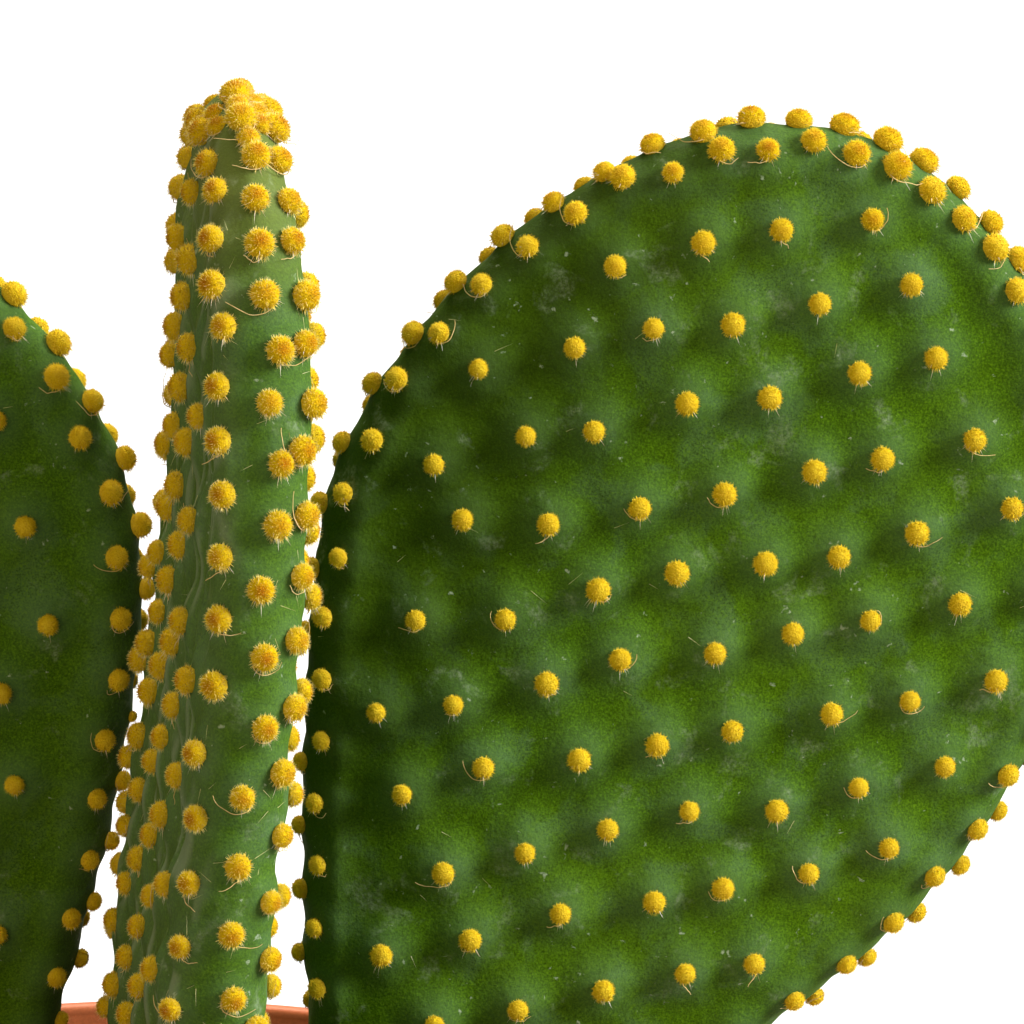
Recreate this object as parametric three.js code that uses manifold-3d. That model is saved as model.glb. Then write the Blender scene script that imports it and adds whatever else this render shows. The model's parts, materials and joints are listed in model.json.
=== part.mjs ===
// A potted paddle cactus: three flat pads, each rooted in its own hole in the soil of a round
// nursery pot, and covered with evenly spaced tufts of short bristles.
// Millimetres, +Z up. The origin is the centre of the pot's underside, and -Y is the front.

import * as THREE from 'three';
import { ConvexHull } from 'three/addons/math/ConvexHull.js';
import { mergeVertices } from 'three/addons/utils/BufferGeometryUtils.js';
import Module from 'manifold-3d';

const wasm = await Module();
wasm.setup();

// ---- driving dimensions -------------------------------------------------------------------

const DEGREE = Math.PI / 180;

const POT = {
  height: 100,
  footRadius: 39.5,
  shoulderRadius: 52.6, // outside of the tapered wall, just under the collar
  collarHeight: 15,
  collarRadius: 56.6, // at the collar's lower edge
  rimRadius: 58.4,
  edge: 1.2, // the bevels at the foot and under the collar
  wall: 2.2,
  sides: 48,
  drainHoles: 6,
  drainRadius: 4.5,
  drainSides: 14,
  drainCircle: 25,
};

const FLOOR_GAP = 0.3; // between the pot's floor and the soil
const WALL_GAP = 0.39; // the same across the pot's sloping wall
const HOLE_CLEARANCE = 0.38; // between a pad and the hole that it stands in
const SOIL_TOP = 92;
const SOIL_SIDES = 36;
const SOIL_RINGS = [0.86, 0.68, 0.5, 0.33, 0.17]; // radii on its top, as shares of the outer one
const SOIL_RELIEF = 0.7; // height of the lumps on those rings

// Each pad is an egg-shaped outline with a short neck at its lower end. `base` is the egg's
// lowest point. `lean` turns the pad to the right in its own plane, and `turn` turns it about
// the vertical. Widths are measured left and right of the axis, heights above and below the
// widest point. The exponents set how full the outline is: 2 is an ellipse. `thickness` is half
// of the edge's, and `dome` is how much of it the middle of a face is raised by.
const PADS = {
  left: {
    base: [-21.7, 23, 85.5], lean: -13.5, turn: -4,
    leftWidth: 38.6, rightWidth: 40.4, above: 45, below: 75,
    topPower: 1.9, leftPower: 1.42, rightPower: 1.25,
    thickness: 4.3, dome: 0.68, baseSwell: 0.25, bow: [0.02, -0.00018, 0],
    neckLength: 5, tuftRadius: 1.5, rowPitch: 11.2, phase: 2.6,
  },
  middle: {
    base: [4.65, -8, 90], lean: 0, turn: 98.2,
    leftWidth: 28.8, rightWidth: 28.8, above: 71.3, below: 57,
    topPower: 2.06, leftPower: 2, rightPower: 2,
    thickness: 4.79, dome: 0.12, baseSwell: 0.28, bow: [-0.0049, 0.002231, -0.00001346],
    neckLength: 9, tuftRadius: 1.65, rowPitch: 10.2, phase: 7.9,
  },
  right: {
    base: [22.3, 16, 96.5], lean: 28.2, turn: 6,
    leftWidth: 37.8, rightWidth: 46.3, above: 55, below: 70.6,
    topPower: 1.93, leftPower: 1.17, rightPower: 1.55,
    thickness: 4.3, dome: 0.68, baseSwell: 0.2, bow: [-0.02, 0.00018, 0],
    neckLength: 15, tuftRadius: 1.45, rowPitch: 11.2, phase: 4.1,
  },
};

const NECK_HALF_WIDTH = 8.5;
const NECK_STRETCH = 9; // the power that keeps the neck out of the pad's face
const NECK_ANGLES = [-5, -2.5, 0, 2.5, 5]; // degrees either side of straight down
const NECK_SHARES = [0.84, 0.94, 1]; // of the way from a face's centre to the neck's end
const DOME_POWER = 4; // the power that keeps the raised middle of a face broad
const EDGE_WIDTH = 4.9; // how far inside the rim a face starts to round over
const FACE_SHARE = 0.88; // the share of the way from a face's centre to the rim that is flat
const OUTLINE_SOFTNESS = 0.06;

const COLUMN_PITCH = 7.35; // between the upright columns of tufts on a face
const BACK_SHIFT = 0.25; // how much higher the other face's pattern stands, in rows
const RIM_PITCH = 2.4; // between tufts along the rim, which go to its three rows by turns
const RIM_CROWDING = 0.35; // how much closer they stand at the very top
const RIM_ROW = 0.943; // where the two outer rows lie, as a share of the way from centre to rim
const RIM_STRAY = 0.025; // how far a tuft strays from its row, in the same share
const RIM_STEPS = 2000; // the walk along the rim
const RIM_MARGIN = 3; // the face's own pattern stops this far inside the rim
const TUFT_SPACING = 4.8; // no tuft of a face is nearer than this to one of the rim
const VALLEY_SPACING = 2.8; // no low place is nearer than this to a tuft
const NECK_SPACING = 1.5; // no plain place of the neck is nearer than this to the others
const SCATTER = 0.95; // how far a tuft strays from its place in the pattern
const BARE_FOOT = 12.5; // no tuft grows lower than this above a pad's base

const TUFT_SIDES = 4;
const TUFT_VARIATION = 0.08; // how much tufts differ in size
const TUFT_FOOT = 0.66; // radius of a tuft's foot over the radius of its bristle tips
const TUFT_HEIGHT = 1.12; // height of its middle bristle over the same radius
const TIP_HEIGHT = 0.55; // height of its outer tips over the same radius
const TUBERCLE = 0.45; // how far the skin swells under a tuft
const VALLEY = 0.4; // how far the skin sinks between tufts
const TIGHT_CLEARANCE = 1.6; // a tuft this near another pad or the pot's lip is pressed short
const PRESSED = 0.5;

const COLOURS = {
  pot: 0xa45a2f,
  soil: 0x3a2c20,
  pad: 0x43641a,
};

// ---- small helpers ------------------------------------------------------------------------

// A repeatable number from -1 to 1 for a pair of counts.
function stray(first, second) {
  const wave = Math.sin(first * 12.9898 + second * 78.233) * 43758.5453;
  return 2 * (wave - Math.floor(wave)) - 1;
}

function geometryFrom(positions, indices) {
  const geometry = new THREE.BufferGeometry();
  geometry.setAttribute('position', new THREE.Float32BufferAttribute(positions, 3));
  geometry.setIndex(indices);
  return geometry;
}

function solidFrom(geometry) {
  const bare = geometry.clone();
  bare.deleteAttribute('normal');
  bare.deleteAttribute('uv');
  const merged = mergeVertices(bare, 1e-4);
  return new wasm.Manifold(new wasm.Mesh({
    numProp: 3,
    vertProperties: new Float32Array(merged.attributes.position.array),
    triVerts: new Uint32Array(merged.index.array),
  }));
}

function geometryOf(solid) {
  const mesh = solid.getMesh();
  return geometryFrom(Array.from(mesh.vertProperties), Array.from(mesh.triVerts));
}

function namedMesh(name, geometry, colour, roughness) {
  const material = new THREE.MeshStandardMaterial({ color: colour, roughness, metalness: 0 });
  const mesh = new THREE.Mesh(geometry, material);
  mesh.name = name;
  return mesh;
}

// A closed body turned about the vertical axis from [radius, height] pairs that run from the
// axis at the bottom to the axis at the top.
function turned(profile, sides) {
  const points = profile.map(([radius, height]) => new THREE.Vector2(radius, height));
  const geometry = new THREE.LatheGeometry(points, sides);
  geometry.rotateX(Math.PI / 2);
  return geometry;
}

// ---- the pad's shape ----------------------------------------------------------------------

function padFrame(pad) {
  const turn = pad.turn * DEGREE;
  const lean = pad.lean * DEGREE;
  const level = new THREE.Vector3(Math.cos(turn), Math.sin(turn), 0);
  const upright = new THREE.Vector3(0, 0, 1);
  const across = level.clone().multiplyScalar(Math.cos(lean));
  across.addScaledVector(upright, -Math.sin(lean));
  const along = upright.clone().multiplyScalar(Math.cos(lean));
  along.addScaledVector(level, Math.sin(lean));
  return { across, along, out: new THREE.Vector3().crossVectors(across, along) };
}

// |share| with its kink at zero rounded off.
function softened(share) {
  const soft = OUTLINE_SOFTNESS;
  return (Math.hypot(share, soft) - soft) / (Math.hypot(1, soft) - soft);
}

// Half the egg's width at a height above its widest point, on the side of `sign`.
function eggWidth(pad, height, sign) {
  const share = height / (height > 0 ? pad.above : pad.below);
  const sidePower = sign < 0 ? pad.leftPower : pad.rightPower;
  const power = height > 0 ? pad.topPower : sidePower;
  const fullWidth = sign < 0 ? pad.leftWidth : pad.rightWidth;
  return Math.abs(share) < 1 ? fullWidth * (1 - softened(share) ** power) ** (1 / power) : 0;
}

// The same with the neck, which runs from the egg down to its own rounded end.
function outlineWidth(pad, height, sign) {
  const egg = eggWidth(pad, height, sign);
  const toEnd = -height / (pad.below + pad.neckLength);
  if (height > 0 || toEnd >= 1) return egg;
  const neck = NECK_HALF_WIDTH * Math.sqrt(1 - toEnd ** 12) * Math.min(1, 2 * toEnd);
  return (egg ** 4 + neck ** 4) ** (1 / 4);
}

// How far an outline is from the pad's centre in a direction of its own plane.
function distanceTo(outline, pad, angle) {
  const sideways = Math.cos(angle);
  const upwards = Math.sin(angle);
  let inside = 0;
  let outside = pad.above + pad.below + pad.neckLength;
  for (let step = 0; step < 30; step += 1) {
    const middle = (inside + outside) / 2;
    const fits = Math.abs(middle * sideways) < outline(pad, middle * upwards, sideways);
    if (fits) inside = middle;
    else outside = middle;
  }
  return inside;
}

// How far from the centre a share of the way to the rim lies. The neck only stretches the
// last of the way, so that the rest of the face keeps the egg's even measure.
function radiusAt(pad, angle, reach) {
  const egg = distanceTo(eggWidth, pad, angle);
  const neck = distanceTo(outlineWidth, pad, angle) - egg;
  return reach * egg + reach ** NECK_STRETCH * neck;
}

function rimDistance(pad, angle) {
  return distanceTo(outlineWidth, pad, angle);
}

// The share of the way to the rim up to which a face is flat. The rest rounds over.
function edgeStart(pad, angle) {
  return 1 - EDGE_WIDTH / distanceTo(eggWidth, pad, angle);
}

// The share of the way from the centre to the rim at which a place of the face lies.
function reachAt(pad, sideways, height) {
  const angle = Math.atan2(height, sideways);
  const radius = Math.hypot(sideways, height);
  let low = 0;
  let high = 1;
  for (let step = 0; step < 24; step += 1) {
    const middle = (low + high) / 2;
    if (radiusAt(pad, angle, middle) < radius) low = middle;
    else high = middle;
  }
  return low;
}

function halfThickness(pad, reach, edge, height) {
  const swell = 1 + pad.baseSwell * Math.max(0, Math.min(1, -height / pad.below));
  return pad.thickness * edge * (1 + pad.dome * (1 - reach ** DOME_POWER)) * swell;
}

function bowAt(pad, height) {
  const rise = height + pad.below;
  return pad.bow.reduce((sum, factor, power) => sum + factor * rise ** (power + 1), 0);
}

// The pad is a sphere's surface, moved. A direction's polar angle, as a share of a quarter
// turn, gives the place between a face's centre (0), the rim (1) and the other face's centre.
function padPoint(pad, direction) {
  const angle = Math.atan2(direction.y, direction.x);
  const polar = Math.acos(Math.max(-1, Math.min(1, direction.z))) / (Math.PI / 2);
  const face = polar <= 1 ? 1 : -1;
  const share = Math.min(polar, 2 - polar);
  const turnOver = Math.max(0, (share - FACE_SHARE) / (1 - FACE_SHARE)) * (Math.PI / 2);
  const start = edgeStart(pad, angle);
  const reach = start * Math.min(1, share / FACE_SHARE) + (1 - start) * Math.sin(turnOver);
  const radius = radiusAt(pad, angle, reach);
  const height = radius * Math.sin(angle);
  const depth = face * halfThickness(pad, reach, Math.cos(turnOver), height);
  return new THREE.Vector3(...pad.base)
    .addScaledVector(pad.frame.across, radius * Math.cos(angle))
    .addScaledVector(pad.frame.along, height + pad.below)
    .addScaledVector(pad.frame.out, depth + bowAt(pad, height));
}

function directionAt(angle, share, face) {
  const polar = share * (Math.PI / 2);
  const flat = Math.sin(polar);
  return new THREE.Vector3(flat * Math.cos(angle), flat * Math.sin(angle), face * Math.cos(polar));
}

// The direction of a place on a face, given in the pad's own plane.
function faceDirection(pad, sideways, height, face) {
  const angle = Math.atan2(height, sideways);
  const reach = reachAt(pad, sideways, height);
  const start = edgeStart(pad, angle);
  const turnOver = Math.asin(Math.max(0, (reach - start) / (1 - start)));
  const flat = FACE_SHARE * Math.min(1, reach / start);
  return directionAt(angle, flat + ((1 - FACE_SHARE) * turnOver) / (Math.PI / 2), face);
}

// The surface round one direction: its point, its outward normal and the two tangents.
function patchAt(pad, direction) {
  const step = 1e-3;
  const aside = Math.abs(direction.z) < 0.9 ? new THREE.Vector3(0, 0, 1) : new THREE.Vector3(1, 0, 0);
  const first = new THREE.Vector3().crossVectors(aside, direction).normalize();
  const second = new THREE.Vector3().crossVectors(direction, first);
  const slope = (tangent) => {
    const ahead = direction.clone().addScaledVector(tangent, step).normalize();
    const behind = direction.clone().addScaledVector(tangent, -step).normalize();
    return padPoint(pad, ahead).sub(padPoint(pad, behind)).divideScalar(2 * step);
  };
  const alongFirst = slope(first);
  const alongSecond = slope(second);
  const normal = new THREE.Vector3().crossVectors(alongFirst, alongSecond).normalize();
  return { direction, point: padPoint(pad, direction), normal, first, second, alongFirst, alongSecond };
}

// The direction that lies `sideways` and `upwards` millimetres from a patch, on the surface.
function stepFrom(patch, sideways, upwards) {
  const right = patch.alongFirst.clone().normalize();
  const up = new THREE.Vector3().crossVectors(patch.normal, right);
  const secondStep = upwards / patch.alongSecond.dot(up);
  const firstStep = (sideways - secondStep * patch.alongSecond.dot(right)) / patch.alongFirst.length();
  return patch.direction.clone()
    .addScaledVector(patch.first, firstStep)
    .addScaledVector(patch.second, secondStep)
    .normalize();
}

// ---- where the tufts grow -----------------------------------------------------------------

// A face has upright columns of tufts, every other one half a row higher, with a low place
// half-way between each tuft and the next one above it.
function facePlaces(pad, face) {
  const tufts = [];
  const valleys = [];
  const columns = Math.ceil(Math.max(pad.leftWidth, pad.rightWidth) / COLUMN_PITCH);
  const rows = Math.ceil((pad.above + pad.below) / pad.rowPitch);
  const place = (list, sideways, height) => {
    const room = rimDistance(pad, Math.atan2(height, sideways)) - Math.hypot(sideways, height);
    if (room > RIM_MARGIN) list.push(faceDirection(pad, sideways, height, face));
  };
  for (let column = -columns; column <= columns; column += 1) {
    const raised = (column % 2 === 0 ? 0 : 0.5) + (face > 0 ? 0 : BACK_SHIFT);
    for (let row = -rows; row <= rows; row += 1) {
      const sideways = column * COLUMN_PITCH;
      const height = (row + raised) * pad.rowPitch + pad.phase;
      const aside = SCATTER * stray(column + 40 * face, row);
      const up = SCATTER * stray(row, column * face + 9);
      place(tufts, sideways + aside, height + up);
      place(valleys, sideways, height + pad.rowPitch / 2);
    }
  }
  return { tufts, valleys };
}

// The rim has three rows, to which its tufts go by turns: one along its crest and one on each
// side of it.
function rimPlaces(pad) {
  const rows = [[RIM_ROW, 1], [1, 1], [RIM_ROW, -1]];
  const tufts = [];
  let walked = RIM_PITCH / 2;
  let last = null;
  for (let step = 0; step <= RIM_STEPS; step += 1) {
    const angle = -Math.PI / 2 + (2 * Math.PI * step) / RIM_STEPS;
    const distance = rimDistance(pad, angle);
    const here = new THREE.Vector2(distance * Math.cos(angle), distance * Math.sin(angle));
    if (last) walked += here.distanceTo(last);
    last = here;
    const pitch = RIM_PITCH * (1 - RIM_CROWDING * Math.max(0, Math.sin(angle)) ** 4);
    if (walked >= pitch) {
      walked -= pitch;
      const [row, face] = rows[tufts.length % rows.length];
      const inward = RIM_STRAY * Math.abs(stray(tufts.length, 3));
      tufts.push(directionAt(angle, row - inward, face));
    }
  }
  return tufts;
}

// Plain places round the neck's lower end, which has neither tufts nor low places.
function neckPlaces() {
  const places = [];
  for (const offset of NECK_ANGLES) {
    for (const share of NECK_SHARES) {
      const angle = -Math.PI / 2 + offset * DEGREE;
      const faces = share < 1 ? [1, -1] : [1];
      faces.forEach((face) => places.push(directionAt(angle, share, face)));
    }
  }
  return places;
}

// Whether a point lies within `margin` of a pad's smooth surface.
function isNear(pad, point, margin) {
  const offset = point.clone().sub(new THREE.Vector3(...pad.base));
  const sideways = offset.dot(pad.frame.across);
  const height = offset.dot(pad.frame.along) - pad.below;
  const depth = Math.abs(offset.dot(pad.frame.out) - bowAt(pad, height));
  const radius = Math.hypot(sideways, height);
  const angle = Math.atan2(height, sideways);
  const rim = rimDistance(pad, angle);
  const reach = reachAt(pad, sideways, height);
  const start = edgeStart(pad, angle);
  const edge = Math.sqrt(1 - Math.max(0, (reach - start) / (1 - start)) ** 2);
  return radius < rim + margin && depth < halfThickness(pad, reach, edge, height) + margin;
}

// Whether a point lies within `margin` of the pot's lip.
function isNearLip(point, margin) {
  const lip = POT.wall / 2;
  const aside = Math.hypot(point.x, point.y) - (POT.rimRadius - lip);
  return Math.hypot(aside, point.z - (POT.height - lip)) < lip + margin;
}

// ---- a pad with its tufts -----------------------------------------------------------------

// The tufts and the low places of a pad, thinned where the pattern of a face meets the rim's.
function padPlaces(pad) {
  const withPoint = (direction) => ({ direction, point: padPoint(pad, direction) });
  const isClear = (place, others, spacing) => (
    others.every((other) => other.point.distanceTo(place.point) > spacing)
  );
  const faces = [facePlaces(pad, 1), facePlaces(pad, -1)];
  const rimTufts = rimPlaces(pad).map(withPoint);
  const faceTufts = faces.flatMap((face) => face.tufts).map(withPoint);
  const tufts = [...rimTufts, ...faceTufts.filter((place) => isClear(place, rimTufts, TUFT_SPACING))];
  const lows = faces.flatMap((face) => face.valleys).map(withPoint);
  const valleys = lows.filter((place) => isClear(place, tufts, VALLEY_SPACING));
  const others = [...tufts, ...valleys];
  const neck = neckPlaces().map(withPoint).filter((place) => isClear(place, others, NECK_SPACING));
  return { tufts, valleys, neck };
}

// The skin's vertices, each with its place on the sphere. TUFT_SIDES of them stand round the
// foot of each tuft, and the tuft takes the place of the skin inside them.
function padVertices(pad, neighbours) {
  const vertices = [];
  const tufts = [];
  const addVertex = (direction, lift, tuft) => {
    const patch = patchAt(pad, direction);
    const point = patch.point.clone().addScaledVector(patch.normal, lift);
    vertices.push({ patch, lift, tuft, point });
    return vertices.length - 1;
  };
  const places = padPlaces(pad);
  const base = new THREE.Vector3(...pad.base);
  const isBare = (place) => place.point.clone().sub(base).dot(pad.frame.along) < BARE_FOOT;
  for (const place of places.tufts.filter((tuftPlace) => !isBare(tuftPlace))) {
    const patch = patchAt(pad, place.direction);
    const summit = patch.point.clone().addScaledVector(patch.normal, TUFT_HEIGHT * pad.tuftRadius);
    const isTight = isNearLip(summit, TIGHT_CLEARANCE)
      || neighbours.some((other) => isNear(other, summit, TIGHT_CLEARANCE));
    const growth = 1 + TUFT_VARIATION * stray(tufts.length, 5);
    const radius = pad.tuftRadius * growth * (isTight ? PRESSED : 1);
    const twist = Math.PI * stray(tufts.length, 11);
    const foot = [];
    for (let side = 0; side < TUFT_SIDES; side += 1) {
      const angle = twist + (2 * Math.PI * side) / TUFT_SIDES;
      const reach = TUFT_FOOT * radius;
      const at = stepFrom(patch, reach * Math.cos(angle), reach * Math.sin(angle));
      foot.push(addVertex(at, TUBERCLE, tufts.length));
    }
    tufts.push({ patch, radius, twist, foot });
  }
  places.tufts.filter(isBare).forEach((place) => addVertex(place.direction, 0, -1));
  places.neck.forEach((place) => addVertex(place.direction, 0, -1));
  places.valleys.forEach((place) => addVertex(place.direction, isBare(place) ? 0 : -VALLEY, -1));
  return { vertices, tufts };
}

// Joins points that lie on a sphere by triangles: they are the faces of their convex hull.
function hullTriangles(directions) {
  const counts = new Map(directions.map((direction, count) => [direction, count]));
  const triangles = [];
  for (const face of new ConvexHull().setFromPoints(directions).faces) {
    const corners = [0, 1, 2].map((corner) => counts.get(face.getEdge(corner).head().point));
    triangles.push(corners);
  }
  return triangles;
}

// A tuft: a middle bristle, and round it one outer bristle over each side of the foot.
function tuftTriangles(tuft, points, triangles) {
  const { point, normal, alongFirst } = tuft.patch;
  const right = alongFirst.clone().normalize();
  const up = new THREE.Vector3().crossVectors(normal, right);
  const summit = points.length;
  points.push(point.clone().addScaledVector(normal, TUBERCLE + TUFT_HEIGHT * tuft.radius));
  for (let side = 0; side < TUFT_SIDES; side += 1) {
    const angle = tuft.twist + (2 * Math.PI * (side + 0.5)) / TUFT_SIDES;
    const tip = points.length;
    points.push(point.clone()
      .addScaledVector(right, tuft.radius * Math.cos(angle))
      .addScaledVector(up, tuft.radius * Math.sin(angle))
      .addScaledVector(normal, TUBERCLE + TIP_HEIGHT * tuft.radius));
    const here = tuft.foot[side];
    const next = tuft.foot[(side + 1) % TUFT_SIDES];
    triangles.push([here, next, tip], [next, summit, tip], [summit, here, tip]);
  }
}

function padSkin(pad, neighbours) {
  const { vertices, tufts } = padVertices(pad, neighbours);
  const points = vertices.map((vertex) => vertex.point);
  const skin = hullTriangles(vertices.map((vertex) => vertex.patch.direction));
  const isUnderTuft = (corners) => {
    const owners = corners.map((corner) => vertices[corner].tuft);
    return owners[0] >= 0 && owners[0] === owners[1] && owners[0] === owners[2];
  };
  const triangles = skin.filter((corners) => !isUnderTuft(corners));
  if (skin.length - triangles.length !== tufts.length * (TUFT_SIDES - 2)) {
    throw new Error('a tuft stands over an edge of the skin');
  }
  tufts.forEach((tuft) => tuftTriangles(tuft, points, triangles));
  return { vertices, points, triangles, skin };
}

function padGeometry(skin) {
  return geometryFrom(skin.points.flatMap((point) => point.toArray()), skin.triangles.flat());
}

// The hole that a pad stands in: its skin without the low places, grown outwards.
function padHole(skin) {
  const positions = skin.vertices.flatMap(({ patch, lift }) => (
    patch.point.clone().addScaledVector(patch.normal, Math.max(0, lift) + HOLE_CLEARANCE).toArray()
  ));
  return solidFrom(geometryFrom(positions, skin.skin.flat()));
}

// ---- pot and soil -------------------------------------------------------------------------

function potGeometry() {
  const { height, footRadius, shoulderRadius, collarHeight, collarRadius, rimRadius } = POT;
  const { edge, wall } = POT;
  const collarFoot = height - collarHeight;
  const lip = wall / 2;
  const lipCurve = [0, 45, 90, 135, 180].map((angle) => [
    rimRadius - lip + lip * Math.cos(angle * DEGREE),
    height - lip + lip * Math.sin(angle * DEGREE),
  ]);
  const profile = [
    [0, 0], [footRadius - edge, 0], [footRadius, edge],
    [shoulderRadius, collarFoot], [collarRadius, collarFoot + edge],
    ...lipCurve,
    [collarRadius - wall, collarFoot + edge + wall], [shoulderRadius - wall, collarFoot - lip],
    [footRadius - wall, wall], [0, wall],
  ];
  let pot = solidFrom(turned(profile, POT.sides));
  for (let count = 0; count < POT.drainHoles; count += 1) {
    const angle = (2 * Math.PI * count) / POT.drainHoles;
    const { drainRadius, drainSides } = POT;
    const hole = new THREE.CylinderGeometry(drainRadius, drainRadius, 4 * wall, drainSides);
    hole.rotateX(Math.PI / 2);
    hole.translate(POT.drainCircle * Math.cos(angle), POT.drainCircle * Math.sin(angle), 0);
    pot = pot.subtract(solidFrom(hole));
  }
  return geometryOf(pot);
}

// The soil follows the inside of the pot up to SOIL_TOP.
function soilGeometry(holes) {
  const { height, footRadius, shoulderRadius, collarHeight, collarRadius, rimRadius } = POT;
  const { edge, wall } = POT;
  const collarFoot = height - collarHeight;
  const collarInside = collarRadius - wall;
  const collarTop = collarFoot + edge + wall;
  const rise = (SOIL_TOP - collarTop) / (height - wall / 2 - collarTop);
  const topRadius = collarInside + (rimRadius - collarRadius) * rise - WALL_GAP;
  const profile = [
    [0, wall + FLOOR_GAP], [footRadius - wall - WALL_GAP, wall + FLOOR_GAP],
    [shoulderRadius - wall - WALL_GAP, collarFoot - wall / 2],
    [collarInside - WALL_GAP, collarTop + WALL_GAP], [topRadius, SOIL_TOP],
    ...SOIL_RINGS.map((share) => [share * topRadius, SOIL_TOP]), [0, SOIL_TOP],
  ];
  const geometry = turned(profile, SOIL_SIDES);
  const position = geometry.attributes.position;
  for (let count = 0; count < position.count; count += 1) {
    const x = position.getX(count);
    const y = position.getY(count);
    const isInner = Math.hypot(x, y) < (topRadius * (1 + SOIL_RINGS[0])) / 2;
    if (isInner && position.getZ(count) > SOIL_TOP - SOIL_RELIEF) {
      const lump = Math.sin(0.31 * x + 1.3) * Math.cos(0.27 * y) + 0.6 * Math.sin(0.47 * (x + y));
      position.setZ(count, SOIL_TOP + SOIL_RELIEF * lump);
    }
  }
  return geometryOf(holes.reduce((soil, hole) => soil.subtract(hole), solidFrom(geometry)));
}

// ---- the object ---------------------------------------------------------------------------

const pads = Object.entries(PADS).map(([side, pad]) => ({ side, ...pad, frame: padFrame(pad) }));
const skins = pads.map((pad) => padSkin(pad, pads.filter((other) => other !== pad)));

const group = new THREE.Group();
group.add(namedMesh('pot', potGeometry(), COLOURS.pot, 0.6));
group.add(namedMesh('soil', soilGeometry(skins.map(padHole)), COLOURS.soil, 0.95));
pads.forEach((pad, count) => {
  group.add(namedMesh(`pad_${pad.side}`, padGeometry(skins[count]), COLOURS.pad, 0.7));
});

export default group;
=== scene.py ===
"""A potted paddle cactus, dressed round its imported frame.

The file is laid out as an add-on and run as a script. Shapes are worked out in millimetres, in
the frame's own axes, and go into the meshes in metres.
"""

import functools
import json
import math

import bpy
import numpy as np
from bpy.props import FloatProperty, FloatVectorProperty, IntProperty, PointerProperty
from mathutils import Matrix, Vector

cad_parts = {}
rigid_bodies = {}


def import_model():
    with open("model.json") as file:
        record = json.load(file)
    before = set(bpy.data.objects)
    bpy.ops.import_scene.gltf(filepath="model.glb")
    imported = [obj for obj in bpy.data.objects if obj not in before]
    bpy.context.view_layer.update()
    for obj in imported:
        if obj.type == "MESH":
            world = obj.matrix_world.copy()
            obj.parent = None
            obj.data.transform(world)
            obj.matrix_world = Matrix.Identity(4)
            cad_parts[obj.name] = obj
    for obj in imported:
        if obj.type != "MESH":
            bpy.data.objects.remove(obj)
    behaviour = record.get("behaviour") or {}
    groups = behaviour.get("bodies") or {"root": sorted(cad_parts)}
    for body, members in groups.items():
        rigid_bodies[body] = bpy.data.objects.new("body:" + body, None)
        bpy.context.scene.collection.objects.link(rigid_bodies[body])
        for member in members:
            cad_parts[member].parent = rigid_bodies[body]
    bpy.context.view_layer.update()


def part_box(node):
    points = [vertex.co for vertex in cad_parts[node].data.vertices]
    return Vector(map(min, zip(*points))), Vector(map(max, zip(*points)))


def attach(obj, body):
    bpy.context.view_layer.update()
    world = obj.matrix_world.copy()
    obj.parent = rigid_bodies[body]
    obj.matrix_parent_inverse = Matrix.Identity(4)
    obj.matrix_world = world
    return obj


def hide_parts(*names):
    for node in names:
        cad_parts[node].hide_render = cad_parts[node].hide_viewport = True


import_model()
POT_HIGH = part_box("pot")[1]

bl_info = {
    "name": "Potted paddle cactus",
    "version": (1, 0, 0),
    "blender": (4, 5, 0),
    "location": "View3D > Sidebar > Cactus",
    "description": "Makes the skins, bristle tufts, soil and pot of a potted paddle cactus",
    "category": "Object",
}

MM = 0.001
GOLDEN_ANGLE = math.pi * (3 - math.sqrt(5))

# ---- the pads' measures, as in their solids ------------------------------------------------

# The last entries of each pad are the looks' own: how large its tufts are over their solids,
# and how much thinner its top or its left side is, as the camera sees it.
PADS = {
    "left": {
        "base": (-21.7, 23, 85.5), "lean": -13.5, "turn": -4,
        "widths": (38.6, 40.4), "above": 45, "below": 75,
        "top_power": 1.9, "side_powers": (1.42, 1.25),
        "thickness": 4.3, "dome": 0.68, "base_swell": 0.25, "bow": (0.02, -0.00018, 0),
        "neck_length": 5, "tuft_radius": 1.5, "row_pitch": 11.2, "phase": 2.6,
        "tuft_scale": 0.8, "thin_top": 0, "thin_side": 0,
    },
    "middle": {
        "base": (4.65, -8, 90), "lean": 0, "turn": 98.2,
        "widths": (28.8, 28.8), "above": 71.3, "below": 57,
        "top_power": 2.06, "side_powers": (2, 2),
        "thickness": 4.79, "dome": 0.12, "base_swell": 0.28,
        "bow": (-0.0049, 0.002231, -0.00001346),
        "neck_length": 9, "tuft_radius": 1.65, "row_pitch": 10.2, "phase": 7.9,
        "tuft_scale": 0.88, "thin_top": 1.5, "thin_side": 0,
    },
    "right": {
        "base": (22.3, 16, 96.5), "lean": 28.2, "turn": 6,
        "widths": (37.8, 46.3), "above": 55, "below": 70.6,
        "top_power": 1.93, "side_powers": (1.17, 1.55),
        "thickness": 4.3, "dome": 0.68, "base_swell": 0.2, "bow": (-0.02, 0.00018, 0),
        "neck_length": 15, "tuft_radius": 1.45, "row_pitch": 11.2, "phase": 4.1,
        "tuft_scale": 0.9, "thin_top": 0, "thin_side": 3.0,
    },
}

NECK_HALF_WIDTH = 8.5
NECK_STRETCH = 9
DOME_POWER = 4
EDGE_WIDTH = 4.9
FACE_SHARE = 0.88
OUTLINE_SOFTNESS = 0.06
COLUMN_PITCH = 7.35
BACK_SHIFT = 0.25
RIM_PITCH = 2.4
RIM_CROWDING = 0.35
RIM_ROW = 0.943
RIM_STRAY = 0.025
RIM_STEPS = 2000
RIM_MARGIN = 3
TUFT_SPACING = 4.8
SCATTER = 0.95
BARE_FOOT = 12.5
TUFT_VARIATION = 0.08
TUFT_HEIGHT = 1.12
TIGHT_CLEARANCE = 1.6
PRESSED = 0.5

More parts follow.
